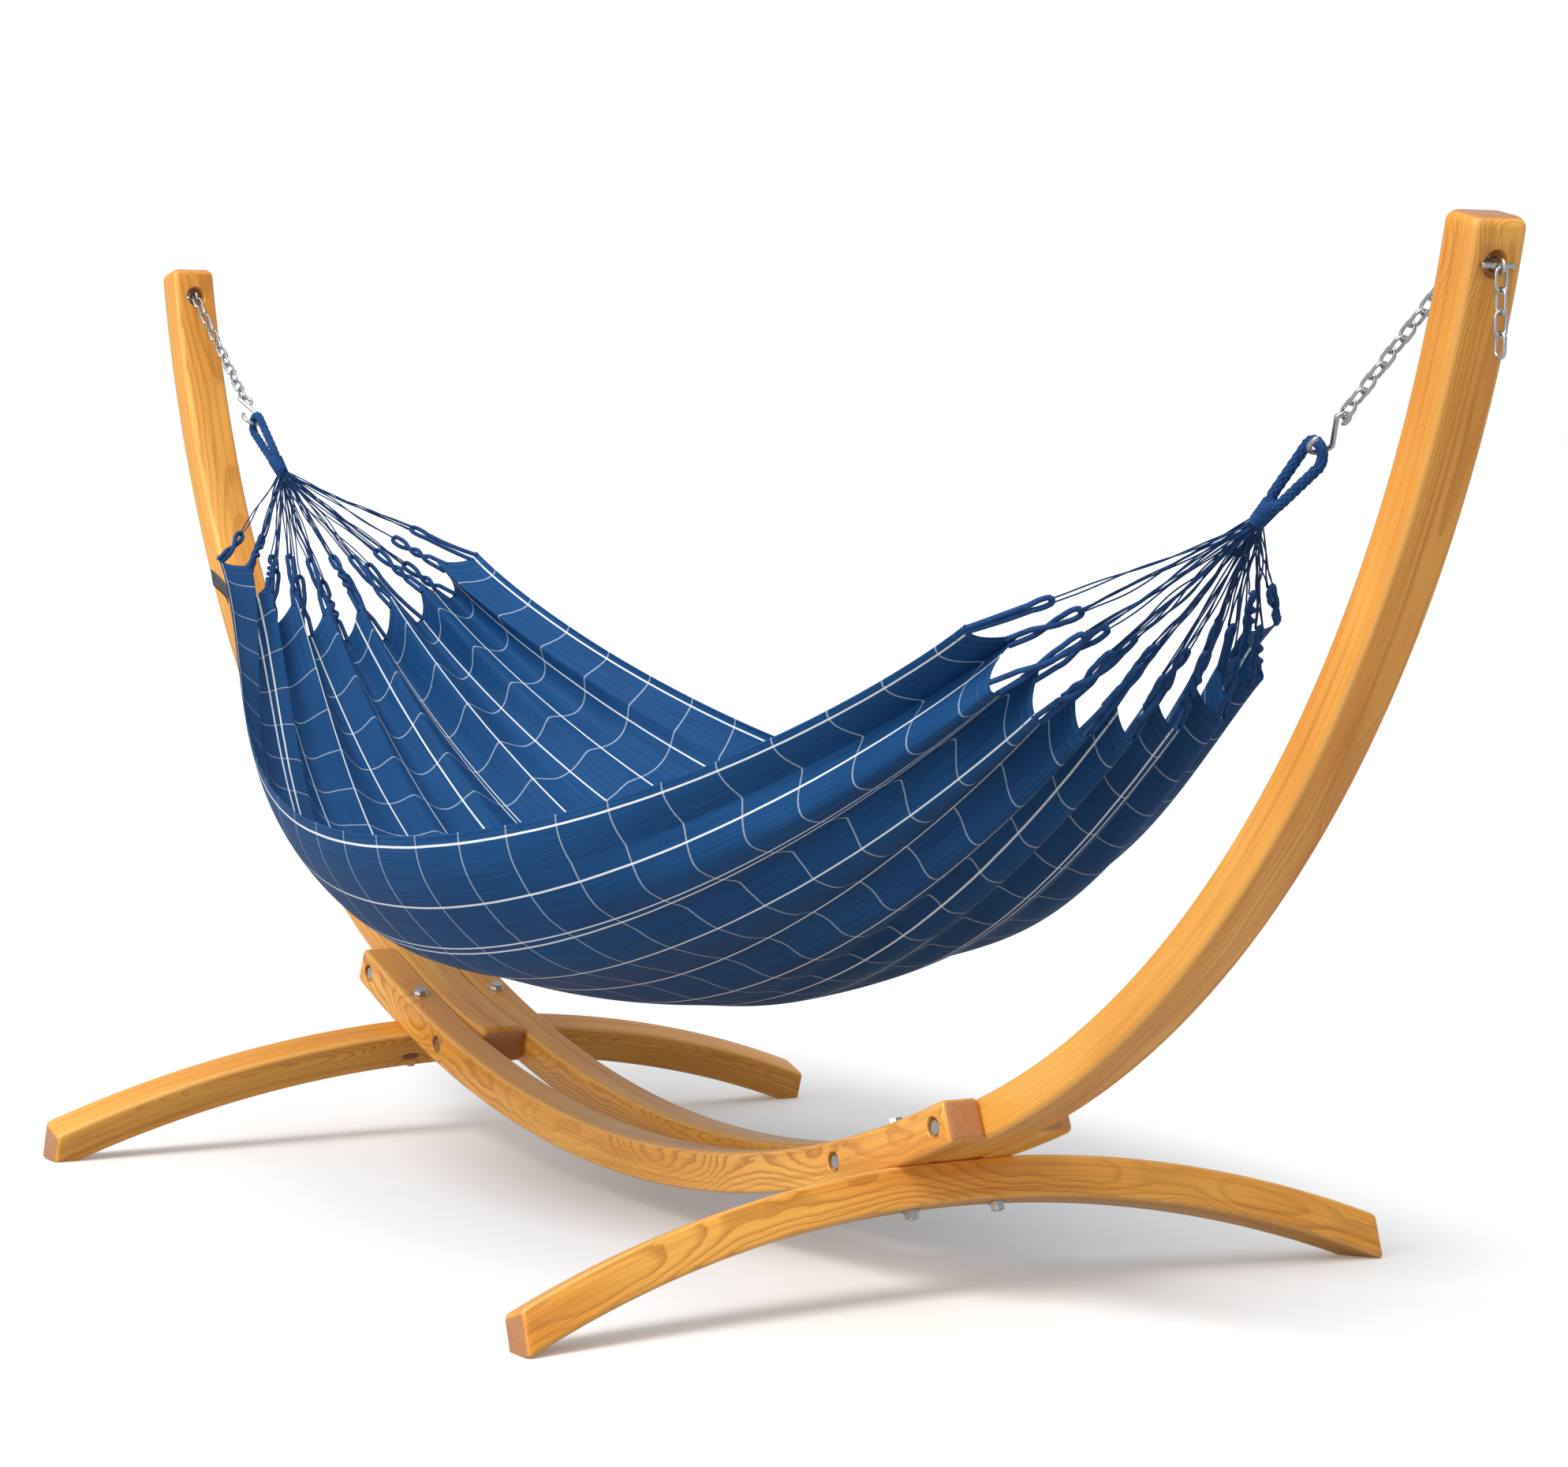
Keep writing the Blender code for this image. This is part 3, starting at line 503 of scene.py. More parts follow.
def cloth_material():
    """Blue cotton with a white windowpane check, drawn on the cloth's flat cut: X along it, Y across."""
    s = Shader("navy_check_cloth")
    flat = s.node("ShaderNodeUVMap", uv_map="flat").outputs[0]
    split = s.node("ShaderNodeSeparateXYZ", {0: flat})
    along = split.outputs[0]
    across = split.outputs[1]
    pitch = (CLOTH_WIDTH - 2 * SELVEDGE_LINE) / CHECK_COLUMNS
    waver = s.times_plus(s.noise(s.scaled(flat, (14.0, 14.0, 1.0)), 1.0, 2.0), 0.0016, -0.0008)
    lengthwise = line_factor(s, s.math("ADD", across, waver), CLOTH_WIDTH / 2 - SELVEDGE_LINE, pitch,
                             LENGTHWISE_LINE)
    crosswise = line_factor(s, s.math("ADD", along, waver), 0.0, pitch, CROSSWISE_LINE)
    pair = single_line(s, across, pitch * 1.5 + PAIR_SHIFT, PAIRED_LINE)
    pair = s.math("MAXIMUM", pair, single_line(s, across, -pitch * 4.5 - PAIR_SHIFT, PAIRED_LINE))
    lengthwise = s.math("MAXIMUM", lengthwise, pair)

    warp = s.noise(s.scaled(flat, (5.0, 1500.0, 1.0)), 1.0, 2.0)
    slub = s.noise(s.scaled(flat, (9.0, 420.0, 1.0)), 1.0, 3.0, 0.6)
    weft = s.noise(s.scaled(flat, (1500.0, 6.0, 1.0)), 1.0, 2.0)
    cloud = s.noise(s.scaled(flat, (5.0, 5.0, 1.0)), 1.0, 3.0)
    blue = s.mix(s.ramp(warp, 0.30, 0.70), (0.0062, 0.040, 0.128), (0.0145, 0.082, 0.228))
    blue = s.mix(s.times(s.ramp(slub, 0.50, 0.80), 0.42), blue, (0.028, 0.128, 0.340))
    blue = s.mix(s.times(s.ramp(weft, 0.50, 0.80), 0.25), blue, (0.0042, 0.028, 0.098))
    blue = s.mix(s.ramp(cloud, 0.35, 0.75, 0.0, 0.28), blue, (0.0050, 0.033, 0.112))
    threads = s.times_plus(s.ramp(weft, 0.36, 0.62), 0.18, 0.80)
    thin_threads = s.times_plus(s.ramp(warp, 0.3, 0.7), 0.24, 0.32)
    colour = s.mix(s.times(crosswise, thin_threads), blue, (0.62, 0.68, 0.76))
    colour = s.mix(s.times(lengthwise, threads), colour, (0.80, 0.83, 0.86))

    from_end = s.math("SUBTRACT", CLOTH_LENGTH / 2, s.math("ABSOLUTE", along))
    from_rim = s.math("SUBTRACT", CLOTH_WIDTH / 2, s.math("ABSOLUTE", across))
    rows = s.math("MAXIMUM", *(single_line(s, from_end, row, 0.0006) for row in STITCH_ROWS))
    dashes = s.ramp(s.math("FRACT", s.times(across, STITCHES_PER_METRE)), 0.18, 0.30)
    stitches = s.times(rows, dashes)
    colour = s.mix(s.times(rows, 0.30), colour, (0.004, 0.016, 0.060))
    colour = s.mix(s.times(stitches, 0.75), colour, (0.060, 0.140, 0.300))
    hem = s.math("MAXIMUM", s.ramp(from_end, 0.026, 0.028, 1.0, 0.0),
                 s.ramp(from_rim, 0.0045, 0.0055, 1.0, 0.0))
    pucker = s.noise(s.scaled(flat, (30.0, 130.0, 1.0)), 1.0, 2.0)

    height = s.times_plus(weft, 0.5, s.times(warp, 0.7))
    height = s.times_plus(s.math("MAXIMUM", lengthwise, crosswise), 0.35, height)
    weave = s.bump(height, 0.00035, 0.55)
    sewn = s.times_plus(rows, -0.8, s.times_plus(stitches, 0.5, hem))
    puckered = s.times(pucker, s.ramp(from_end, 0.0, 0.05, 1.0, 0.0))
    sewn = s.times_plus(puckered, 0.9, sewn)
    rough = s.times_plus(slub, 0.26, 0.38)
    return s.finish(Base_Color=colour, Roughness=rough, Specular_IOR_Level=0.06, Sheen_Weight=0.02,
                    Sheen_Roughness=0.38, Sheen_Tint=(0.30, 0.55, 1.0),
                    Normal=s.bump(sewn, 0.0009, 0.8, weave))


def label_material():
    s = Shader("woven_label_black")
    here = s.here()
    threads = s.noise(s.scaled(here, (1800.0, 1800.0, 300.0)), 1.0, 2.0)
    tone = s.mix(s.ramp(threads, 0.3, 0.7), (0.010, 0.010, 0.012), (0.035, 0.036, 0.042))
    return s.finish(Base_Color=tone, Roughness=0.72, Sheen_Weight=0.2, Normal=s.bump(threads, 0.0003, 0.6))


ZINC = zinc_material("bright_zinc", (0.56, 0.57, 0.585), 0.20)
BOLT_ZINC = zinc_material("bolt_zinc", (0.60, 0.61, 0.62), 0.28, 0.12)
CLOTH = cloth_material()
BRAID = cord_material("navy_braid", (0.0075, 0.038, 0.130), (0.020, 0.085, 0.260))
STRING = cord_material("navy_string", (0.0055, 0.026, 0.092), (0.014, 0.060, 0.185))
LABEL = label_material()


# -------- wooden beams

def section(half_height, half_width, edge):
    """Rounded rectangle as pairs of height and width."""
    edge = max(edge, 0.0004)
    outline = []
    corners = ((1, 1, 0), (-1, 1, 90), (-1, -1, 180), (1, -1, 270))
    for up, out, start in corners:
        for angle in np.radians(np.linspace(start, start + 90, CORNER_POINTS)):
            outline.append((up * (half_height - edge) + edge * math.cos(angle),
                            out * (half_width - edge) + edge * math.sin(angle)))
    return np.array(outline)


def stations(first, last, edge, count):
    """Places along a beam with the inset of its section there, for ends rounded by edge."""
    bend = np.radians(np.linspace(0, 90, CORNER_POINTS))
    insets = edge * (1 - np.sin(bend))
    steps = edge * (1 - np.cos(bend))
    places = [(first + step, inset) for step, inset in zip(steps, insets)]
    places += [(x, 0.0) for x in np.linspace(first + edge, last - edge, count)[1:-1]]
    places += [(last - step, inset) for step, inset in reversed(list(zip(steps, insets)))]
    return places


def cylinder(name, start, end, profile, sides=48):
    """Round cutter from one point to another; the profile gives (share of the way, radius)."""
    soup = Soup()
    start = np.asarray(start, float)
    end = np.asarray(end, float)
    path = [start + (end - start) * share for share, _ in profile]
    add_tube(soup, path, [radius for _, radius in profile], sides)
    return soup.build(name)


def bore(start, end):
    """Cutter for a bolt's hole."""
    return cylinder("hole", start, end, ((0, SHANK_HOLE_RADIUS), (1, SHANK_HOLE_RADIUS)), 24)


def cut(item, cutters):
    """Bore or saw a mesh and keep the result as its mesh."""
    for cutter in cutters:
        boolean = item.modifiers.new("cut", "BOOLEAN")
        boolean.object = cutter
        boolean.solver = "EXACT"
    bpy.context.view_layer.update()
    evaluated = item.evaluated_get(bpy.context.evaluated_depsgraph_get())
    mesh = bpy.data.meshes.new_from_object(evaluated)
    item.modifiers.clear()
    item.data = mesh
    mesh.set_sharp_from_angle(angle=math.radians(CREASE_ANGLE))
    for cutter in cutters:
        bpy.data.objects.remove(cutter, do_unlink=True)
    return item


def radial(angle, side):
    """Unit vector at an angle from straight down."""
    angle = math.radians(angle)
    return np.array((side * math.sin(angle), 0.0, -math.cos(angle)))


def on_rail_circle(radius, angle, side, y=0.0):
    return np.array((0.0, y, RAIL_CENTRE_Z)) + radial(angle, side) * radius


def arc_beam(name, centre, side, radius, first, last, half_height, half_width, edge, end_edge, material,
             count):
    """Beam bent along an arc in the XZ plane."""
    degrees = 180 / math.pi / radius
    rings = []
    for place_along, inset in stations(first / degrees, last / degrees, end_edge, count):
        out = radial(place_along * degrees, side)
        outline = section(half_height - inset, half_width - inset, edge - inset * edge / end_edge * 0.7)
        rings.append(centre + out * (radius + outline[:, :1]) + Y_AXIS * outline[:, 1:])
    soup = Soup()
    soup.grid(np.array(rings), wrap_cols=True, caps=True)
    return soup.build(name, material, sharp=CREASE_ANGLE)


def make_rail(row, seed, tint):
    y = ROWS[row] * RAIL_Y
    centre = np.array((0.0, y, RAIL_CENTRE_Z))
    material = wood_material(f"larch_rail_{row}", centre, -Z_AXIS, X_AXIS, Y_AXIS, RAIL_RADIUS,
                             RAIL_THICKNESS / 2, RAIL_WIDTH / 2, (ROWS[row] * -0.052, -0.012), seed, tint,
                             1.0, 0.72, 0.18)
    rail = arc_beam(f"rail_{row}_wood", centre, 1, RAIL_RADIUS, -RAIL_HALF_ANGLE, RAIL_HALF_ANGLE,
                    RAIL_THICKNESS / 2, RAIL_WIDTH / 2, WOOD_EDGE, RAIL_END_EDGE, material, 110)
    cutters = []
    face = ROWS[row] * (RAIL_Y + RAIL_WIDTH / 2)
    floor = face - ROWS[row] * COUNTERBORE_DEPTH
    beyond = face + ROWS[row] * 0.02
    for side in SIDES.values():
        for angle in ARM_BOLT_ANGLES:
            axle = on_rail_circle(RAIL_RADIUS, angle, side)
            cutters.append(bore(axle, axle + Y_AXIS * beyond))
            length = abs(beyond - floor)
            rim = abs(face - floor) / length
            cutters.append(cylinder("counterbore", axle + Y_AXIS * floor, axle + Y_AXIS * beyond, (
                (0, COUNTERBORE_RADIUS), (rim - 0.0016 / length, COUNTERBORE_RADIUS),
                (rim, COUNTERBORE_RADIUS + BORE_BEVEL), (1, COUNTERBORE_RADIUS + BORE_BEVEL))))
        inside = on_rail_circle(RAIL_RADIUS - CUTTER_REACH, FOOT_ANGLE, side, y)
        outside = on_rail_circle(RAIL_RADIUS + CUTTER_REACH, FOOT_ANGLE, side, y)
        cutters.append(bore(inside, outside))
    cut(rail, cutters)
    return rail


def make_arm(side_name, seed, tint, seams):
    side = SIDES[side_name]
    centre = np.array((side * ARM_CENTRE_X, 0.0, ARM_CENTRE_Z))
    material = wood_material(f"larch_arm_{side_name}", centre, -Z_AXIS, side * X_AXIS, Y_AXIS, ARM_RADIUS,
                             ARM_THICKNESS / 2, ARM_WIDTH / 2, (0.018, 0.085), seed, tint,
                             0.30, 0.46, seams)
    arm = arc_beam(f"arm_{side_name}_wood", centre, side, ARM_RADIUS, ARM_LOW_ANGLE, ARM_TIP_ANGLE,
                   ARM_THICKNESS / 2, ARM_WIDTH / 2, ARM_EDGE, ARM_END_EDGE, material, 130)
    cutters = []
    for angle in ARM_BOLT_ANGLES:
        axle = on_rail_circle(RAIL_RADIUS, angle, side)
        cutters.append(bore(axle - Y_AXIS * CUTTER_REACH, axle + Y_AXIS * CUTTER_REACH))
    out = radial(HOLE_ANGLE, side)
    half = ARM_THICKNESS / 2
    mouth = HOLE_RADIUS + 0.0026
    profile = ((-0.02, mouth), (0.0, mouth), (0.0012, HOLE_RADIUS + 0.0010), (0.0035, HOLE_RADIUS),
               (2 * half - 0.0035, HOLE_RADIUS), (2 * half - 0.0012, HOLE_RADIUS + 0.0010),
               (2 * half, mouth), (2 * half + 0.02, mouth))
    start = centre + out * (ARM_RADIUS - half)
    cutters.append(cylinder("chain_hole", start, start + out, profile))
    cut(arm, cutters)
    return arm


def foot_drop(radius, y):
    return radius - math.sqrt(radius ** 2 - y ** 2)


def make_foot(side_name, seed, tint):
    side = SIDES[side_name]
    seat_drop = foot_drop(FOOT_ARCH_RADIUS, FOOT_SEAT_HALF)
    up = -radial(FOOT_ANGLE, side)
    wide = unit(np.cross(Y_AXIS, up))
    origin = on_rail_circle(RAIL_OUTER_RADIUS + GAP, FOOT_ANGLE, side)
    rings = []
    for y, inset in stations(-FOOT_HALF_LENGTH, FOOT_HALF_LENGTH, WOOD_EDGE, 121):
        top = seat_drop - foot_drop(FOOT_ARCH_RADIUS, max(abs(y), FOOT_SEAT_HALF))
        under = seat_drop - FOOT_THICKNESS - foot_drop(FOOT_ARCH_RADIUS - FOOT_THICKNESS, y)
        outline = section((top - under) / 2 - inset, FOOT_WIDTH / 2 - inset, WOOD_EDGE - inset)
        high = (top + under) / 2 + outline[:, :1]
        rings.append(origin + Y_AXIS * y + up * high + wide * outline[:, 1:])
    mid_radius = FOOT_ARCH_RADIUS - FOOT_THICKNESS / 2
    centre = origin + up * (seat_drop - FOOT_ARCH_RADIUS)
    material = wood_material(f"larch_foot_{side_name}", centre, up, Y_AXIS, wide, mid_radius,
                             FOOT_THICKNESS / 2, FOOT_WIDTH / 2, (-0.045 * side, 0.010), seed, tint, 0.70,
                             0.58, 0.25)
    soup = Soup()
    soup.grid(np.array(rings), wrap_cols=True, caps=True)
    foot = soup.build(f"foot_{side_name}_wood", material, sharp=CREASE_ANGLE)
    block = Soup()
    corners = [[(origin[0] + dx * 0.2, dy * 0.8, dz) for dx, dy in ((-1, -1), (1, -1), (1, 1), (-1, 1))]
               for dz in (-0.1, 0.0)]
    block.grid(np.array(corners), wrap_cols=True, caps=True)
    cutters = [block.build("floor_block")]
    for row in ROWS.values():
        shift = Y_AXIS * (row * RAIL_Y)
        cutters.append(bore(origin + up * 0.02 + shift, origin - up * 0.09 + shift))
    cut(foot, cutters)
    return foot


# -------- chain

def bend_points(centre, towards, sideways, radius, first, last, count):
    angles = np.radians(np.linspace(first, last, count))[:, None]
    return centre + towards * radius * np.cos(angles) + sideways * radius * np.sin(angles)


def add_link(soup, centre, along, across):
    straight = LINK_HALF - LINK_BEND
    ends = [bend_points(centre + along * straight, along, across, LINK_BEND, -90, 90, 17),
            bend_points(centre - along * straight, -along, -across, LINK_BEND, -90, 90, 17)]
    path = np.vstack(ends)
    add_tube(soup, path, LINK_WIRE, 16, closed=True, flat_normal=np.cross(along, across))


def chain_frame(side):
    outward = radial(HOLE_ANGLE, side)
    face = np.array((side * ARM_CENTRE_X, 0.0, ARM_CENTRE_Z)) + outward * (ARM_RADIUS + ARM_THICKNESS / 2)
    pin = face + outward * (GAP + PIN_RADIUS)
    tail_wire = pin + outward * (PIN_RADIUS + GAP + WIRE_RADIUS)
    anchor = tail_wire + outward * (2 * WIRE_RADIUS + GAP - LINK_HALF)
    slope = math.radians(CHAIN_SLOPE)
    along = np.array((-side * math.cos(slope), 0.0, -math.sin(slope)))
    upright = np.array((-side * math.sin(slope), 0.0, math.cos(slope)))
    bend_centre = anchor - outward * (2 * JOINED_STEP + LINK_HALF - LINK_BEND)
    pivot = bend_centre + along * (LINK_BEND - WIRE_RADIUS - GAP / 2)
    return outward, pin, tail_wire, anchor, pivot, along, upright


def rounded_ends(count, reach=4):
    """Radius shares that close a wire's ends in a dome."""
    shares = np.ones(count)
    dome = np.sin(np.linspace(0.35, math.pi / 2, reach))
    shares[:reach] = dome
    shares[-reach:] = dome[::-1]
    return shares


def make_chain(side_name):
    side = SIDES[side_name]
    outward, pin, tail_wire, anchor, pivot, along, upright = chain_frame(side)
    in_plane = np.cross(Y_AXIS, outward)

    soup = Soup()
    for index in range(ANCHOR_LINKS):
        add_link(soup, anchor - outward * (JOINED_STEP * index), outward, Y_AXIS if index % 2 else in_plane)
    dress(soup.build(f"anchor_links_{side_name}", ZINC), "stand", "zinc_steel", f"chain_{side_name}_anchor")

    soup = Soup()
    end_reach = np.array((0.485, 0.494, 0.4985, 0.5))
    end_shares = np.array((1.0, 0.94, 0.78, 0.55))
    reach = np.concatenate((-end_reach[::-1], np.linspace(-0.45, 0.45, 9), end_reach))
    shares = np.concatenate((end_shares[::-1], np.ones(9), end_shares))
    add_tube(soup, pin + np.outer(reach * PIN_LENGTH, Y_AXIS), PIN_RADIUS * shares, 20)
    dress(soup.build(f"pin_{side_name}", ZINC, sharp=50), "stand", "zinc_steel",
          f"retaining_pin_{side_name}")

    soup = Soup()
    for index in range(TAIL_LINKS):
        centre = tail_wire - Z_AXIS * (LINK_HALF + JOINED_STEP * index)
        add_link(soup, centre, -Z_AXIS, X_AXIS if index % 2 else Y_AXIS)
    dress(soup.build(f"tail_links_{side_name}", ZINC), f"tail_{side_name}", "zinc_steel",
          f"chain_{side_name}_tail")

    first_bend = pivot - along * (WIRE_RADIUS + GAP / 2)
    for index in range(CHAIN_LINKS):
        soup = Soup()
        add_link(soup, first_bend + along * (LINK_HALF + index * FREE_STEP), along,
                 upright if index % 2 else Y_AXIS)
        number = f"{side_name}_{index + 1:02d}"
        dress(soup.build(f"link_{number}", ZINC), f"chain_{side_name}", "zinc_steel",
              f"chain_{side_name}_link_{index + 1:02d}")

    last_bend = first_bend + along * (2 * LINK_HALF + (CHAIN_LINKS - 1) * FREE_STEP)
    eye_wire = last_bend - along * (WIRE_RADIUS + GAP + HOOK_WIRE)
    bow_wire = eye_wire + along * HOOK_LENGTH
    eye = bend_points(eye_wire + along * HOOK_EYE, along, Y_AXIS, HOOK_EYE, 35, 235, 26)
    bow = bend_points(bow_wire - along * HOOK_BOW, along, Y_AXIS, HOOK_BOW, 75, -130, 30)
    path = resample(np.vstack((eye, bow)), 0.0015)
    soup = Soup()
    add_tube(soup, path, HOOK_WIRE * rounded_ends(len(path)), 18, flat_normal=upright)
    dress(soup.build(f"hook_{side_name}", ZINC), f"chain_{side_name}", "zinc_steel", f"s_hook_{side_name}")
    return bow_wire


# -------- cloth

def blend(start, end, share):
    return start + (end - start) * share


RIDGES = np.linspace(-1, 1, PLEATS + 1)
PLEAT_PLAN = {}
for plan_side in (-1, 1):
    PLEAT_PLAN[plan_side] = {
        "depth": PLEAT_DEPTH * RNG.uniform(0.74, 1.06, PLEATS + 1),
        "start": RNG.uniform(0.10, 0.46, PLEATS + 1),
        "lean": RNG.uniform(-0.020, 0.020, PLEATS + 1),
    }


def section_angles(share, half_width, depth):
    """Angles on a half ellipse at shares of its arc on either side of the lowest point."""
    angles = np.linspace(0, math.pi / 2, 90)
    steps = np.hypot(half_width * np.cos(angles), depth * np.sin(angles))
    arc = np.concatenate(([0], np.cumsum((steps[1:] + steps[:-1]) / 2)))
    return np.sign(share) * np.interp(np.abs(share), arc / arc[-1], angles)


def cloth_row(u, v):
    """Points of one crosswise thread of the cloth: u from -1 to 1 along it, v across."""
    v = np.asarray(v, float)
    reach = abs(u)
    side = 1 if u >= 0 else -1
    half_width = blend(RIM_HALF_WIDTH_END, RIM_HALF_WIDTH, math.cos(math.pi / 2 * reach) ** 1.2)
    rim = blend(RIM_HEIGHT, RIM_HEIGHT_END, reach ** 2)
    depth = rim - blend(BED_HEIGHT, BED_HEIGHT_END, reach ** 2)
    angle = section_angles(v, half_width, depth)
    x = u * (CLOTH_END_X_MIDDLE + (CLOTH_END_X - CLOTH_END_X_MIDDLE) * v * v)
    y = half_width * np.sin(angle)
    z = rim - depth * np.cos(angle)
    plan = PLEAT_PLAN[side]
    start = np.interp(v, RIDGES, plan["start"])
    growth = np.clip((reach - start) / (1 - start), 0, 1) ** 1.6
    depth_here = np.interp(v, RIDGES, plan["depth"]) * growth
    sway = np.interp(v, RIDGES, plan["lean"]) * np.sin(math.pi * reach) * np.sin(math.pi * PLEATS * v) ** 2
    phase = math.pi * PLEATS * (v + sway + 1)
    wave = 2 * np.abs(np.cos(phase / 2)) ** (1.15 + 0.35 * growth) - 1
    wave = blend(np.cos(phase), wave, 0.75)
    slack = 0.0055 * np.sin(9.0 * v + 2.4 * u + 1.0) * np.cos(math.pi / 2 * reach) * (1 - v ** 4)
    slack = slack + 0.0035 * np.sin(17.0 * v - 4.1 * u) * (1 - reach) * (1 - v ** 4)
    out_y = np.sin(angle) / half_width
    out_z = -np.cos(angle) / depth
    size = np.hypot(out_y, out_z)
    shift = depth_here * wave + slack
    y = y + out_y / size * shift
    z = z + out_z / size * shift
    x = x + side * growth ** 3 * SCALLOP * np.cos(2 * phase)
    return np.stack((x, y, z), axis=-1)


def make_cloth():
    along = 300
    across = 64 * PLEATS
    us = np.sin(np.linspace(-1, 1, along + 1) * 1.25) / math.sin(1.25)
    vs = np.linspace(-1, 1, across + 1)
    grid = np.array([cloth_row(u, vs) for u in us])
    steps = np.linalg.norm(np.diff(grid, axis=0), axis=2)
    lengths = np.vstack((np.zeros((1, across + 1)), np.cumsum(steps, axis=0)))
    lengths = lengths - lengths[along // 2]
    fitted = np.polynomial.polynomial.polyfit(vs, lengths.T, 4)
    lengths = np.polynomial.polynomial.polyval(vs, fitted)
    lengths = lengths * np.where(lengths > 0, lengths[-1], -lengths[0]) ** -1 * (CLOTH_LENGTH / 2)
    widths = np.broadcast_to(vs * CLOTH_WIDTH / 2, lengths.shape)
    uvs = np.stack((lengths, widths), axis=-1).reshape(-1, 2)
    soup = Soup()
    soup.grid(grid)
    cloth = soup.build("hammock_cloth", CLOTH, uvs)
    return thicken(cloth, CLOTH_THICKNESS)


# -------- cords

def braid_path(root_a, root_b, tip, turns, bow):
    """Cord from one place on the hem up to its eye and back down to another, the legs twisted
    together above; with it comes the direction that looks through the eye."""
    middle = (root_a + root_b) / 2
    axis = tip - middle
    length = np.linalg.norm(axis)
    axis = axis / length
    apart = (root_b - root_a) / 2
    lift = axis * apart.dot(axis)
    spread = np.linalg.norm(apart - lift)
    flat = (apart - lift) / spread
    other = np.cross(axis, flat)
    shares = np.linspace(0, 1, 60)[:, None]
    close = BRAID_RADIUS * 1.03
    open_share = np.clip(1 - shares / 0.60, 0, 1) ** 1.35
    reach = close + (spread - close) * open_share
    reach = reach + close * 0.40 * np.sin(math.pi * np.clip((shares - 0.80) / 0.26, 0, 1))
    turn = turns * math.pi * np.clip((shares - 0.34) / 0.50, 0, 1)
    leg = (flat * np.cos(turn) + other * np.sin(turn)) * reach + lift * open_share
    spine = middle + axis * length * shares - Z_AXIS * bow * np.sin(math.pi * shares)
    last = leg[-1]
    cap = [tip + last * math.cos(a) * -1 + axis * (BRAID_RADIUS * 1.5 * math.sin(a))
           for a in np.linspace(0, math.pi, 9)[1:-1]]
    return np.vstack((spine - leg, cap, (spine + leg)[::-1])), unit(np.cross(axis, last)), axis


def sway(start, end, amount, phase):
    """Nearly straight cord with a slight wander."""
    line = end - start
    side_a = unit(np.cross(line, Z_AXIS + 0.3 * Y_AXIS))
    side_b = unit(np.cross(line, side_a))
    t = np.linspace(0, 1, 26)[:, None]
    hump = np.sin(math.pi * t)
    return (start + line * t + side_a * amount * hump * np.sin(5.1 * t + phase)
            + side_b * amount * 0.7 * hump * np.sin(8.3 * t + 2 * phase) - Z_AXIS * 0.0022 * hump)


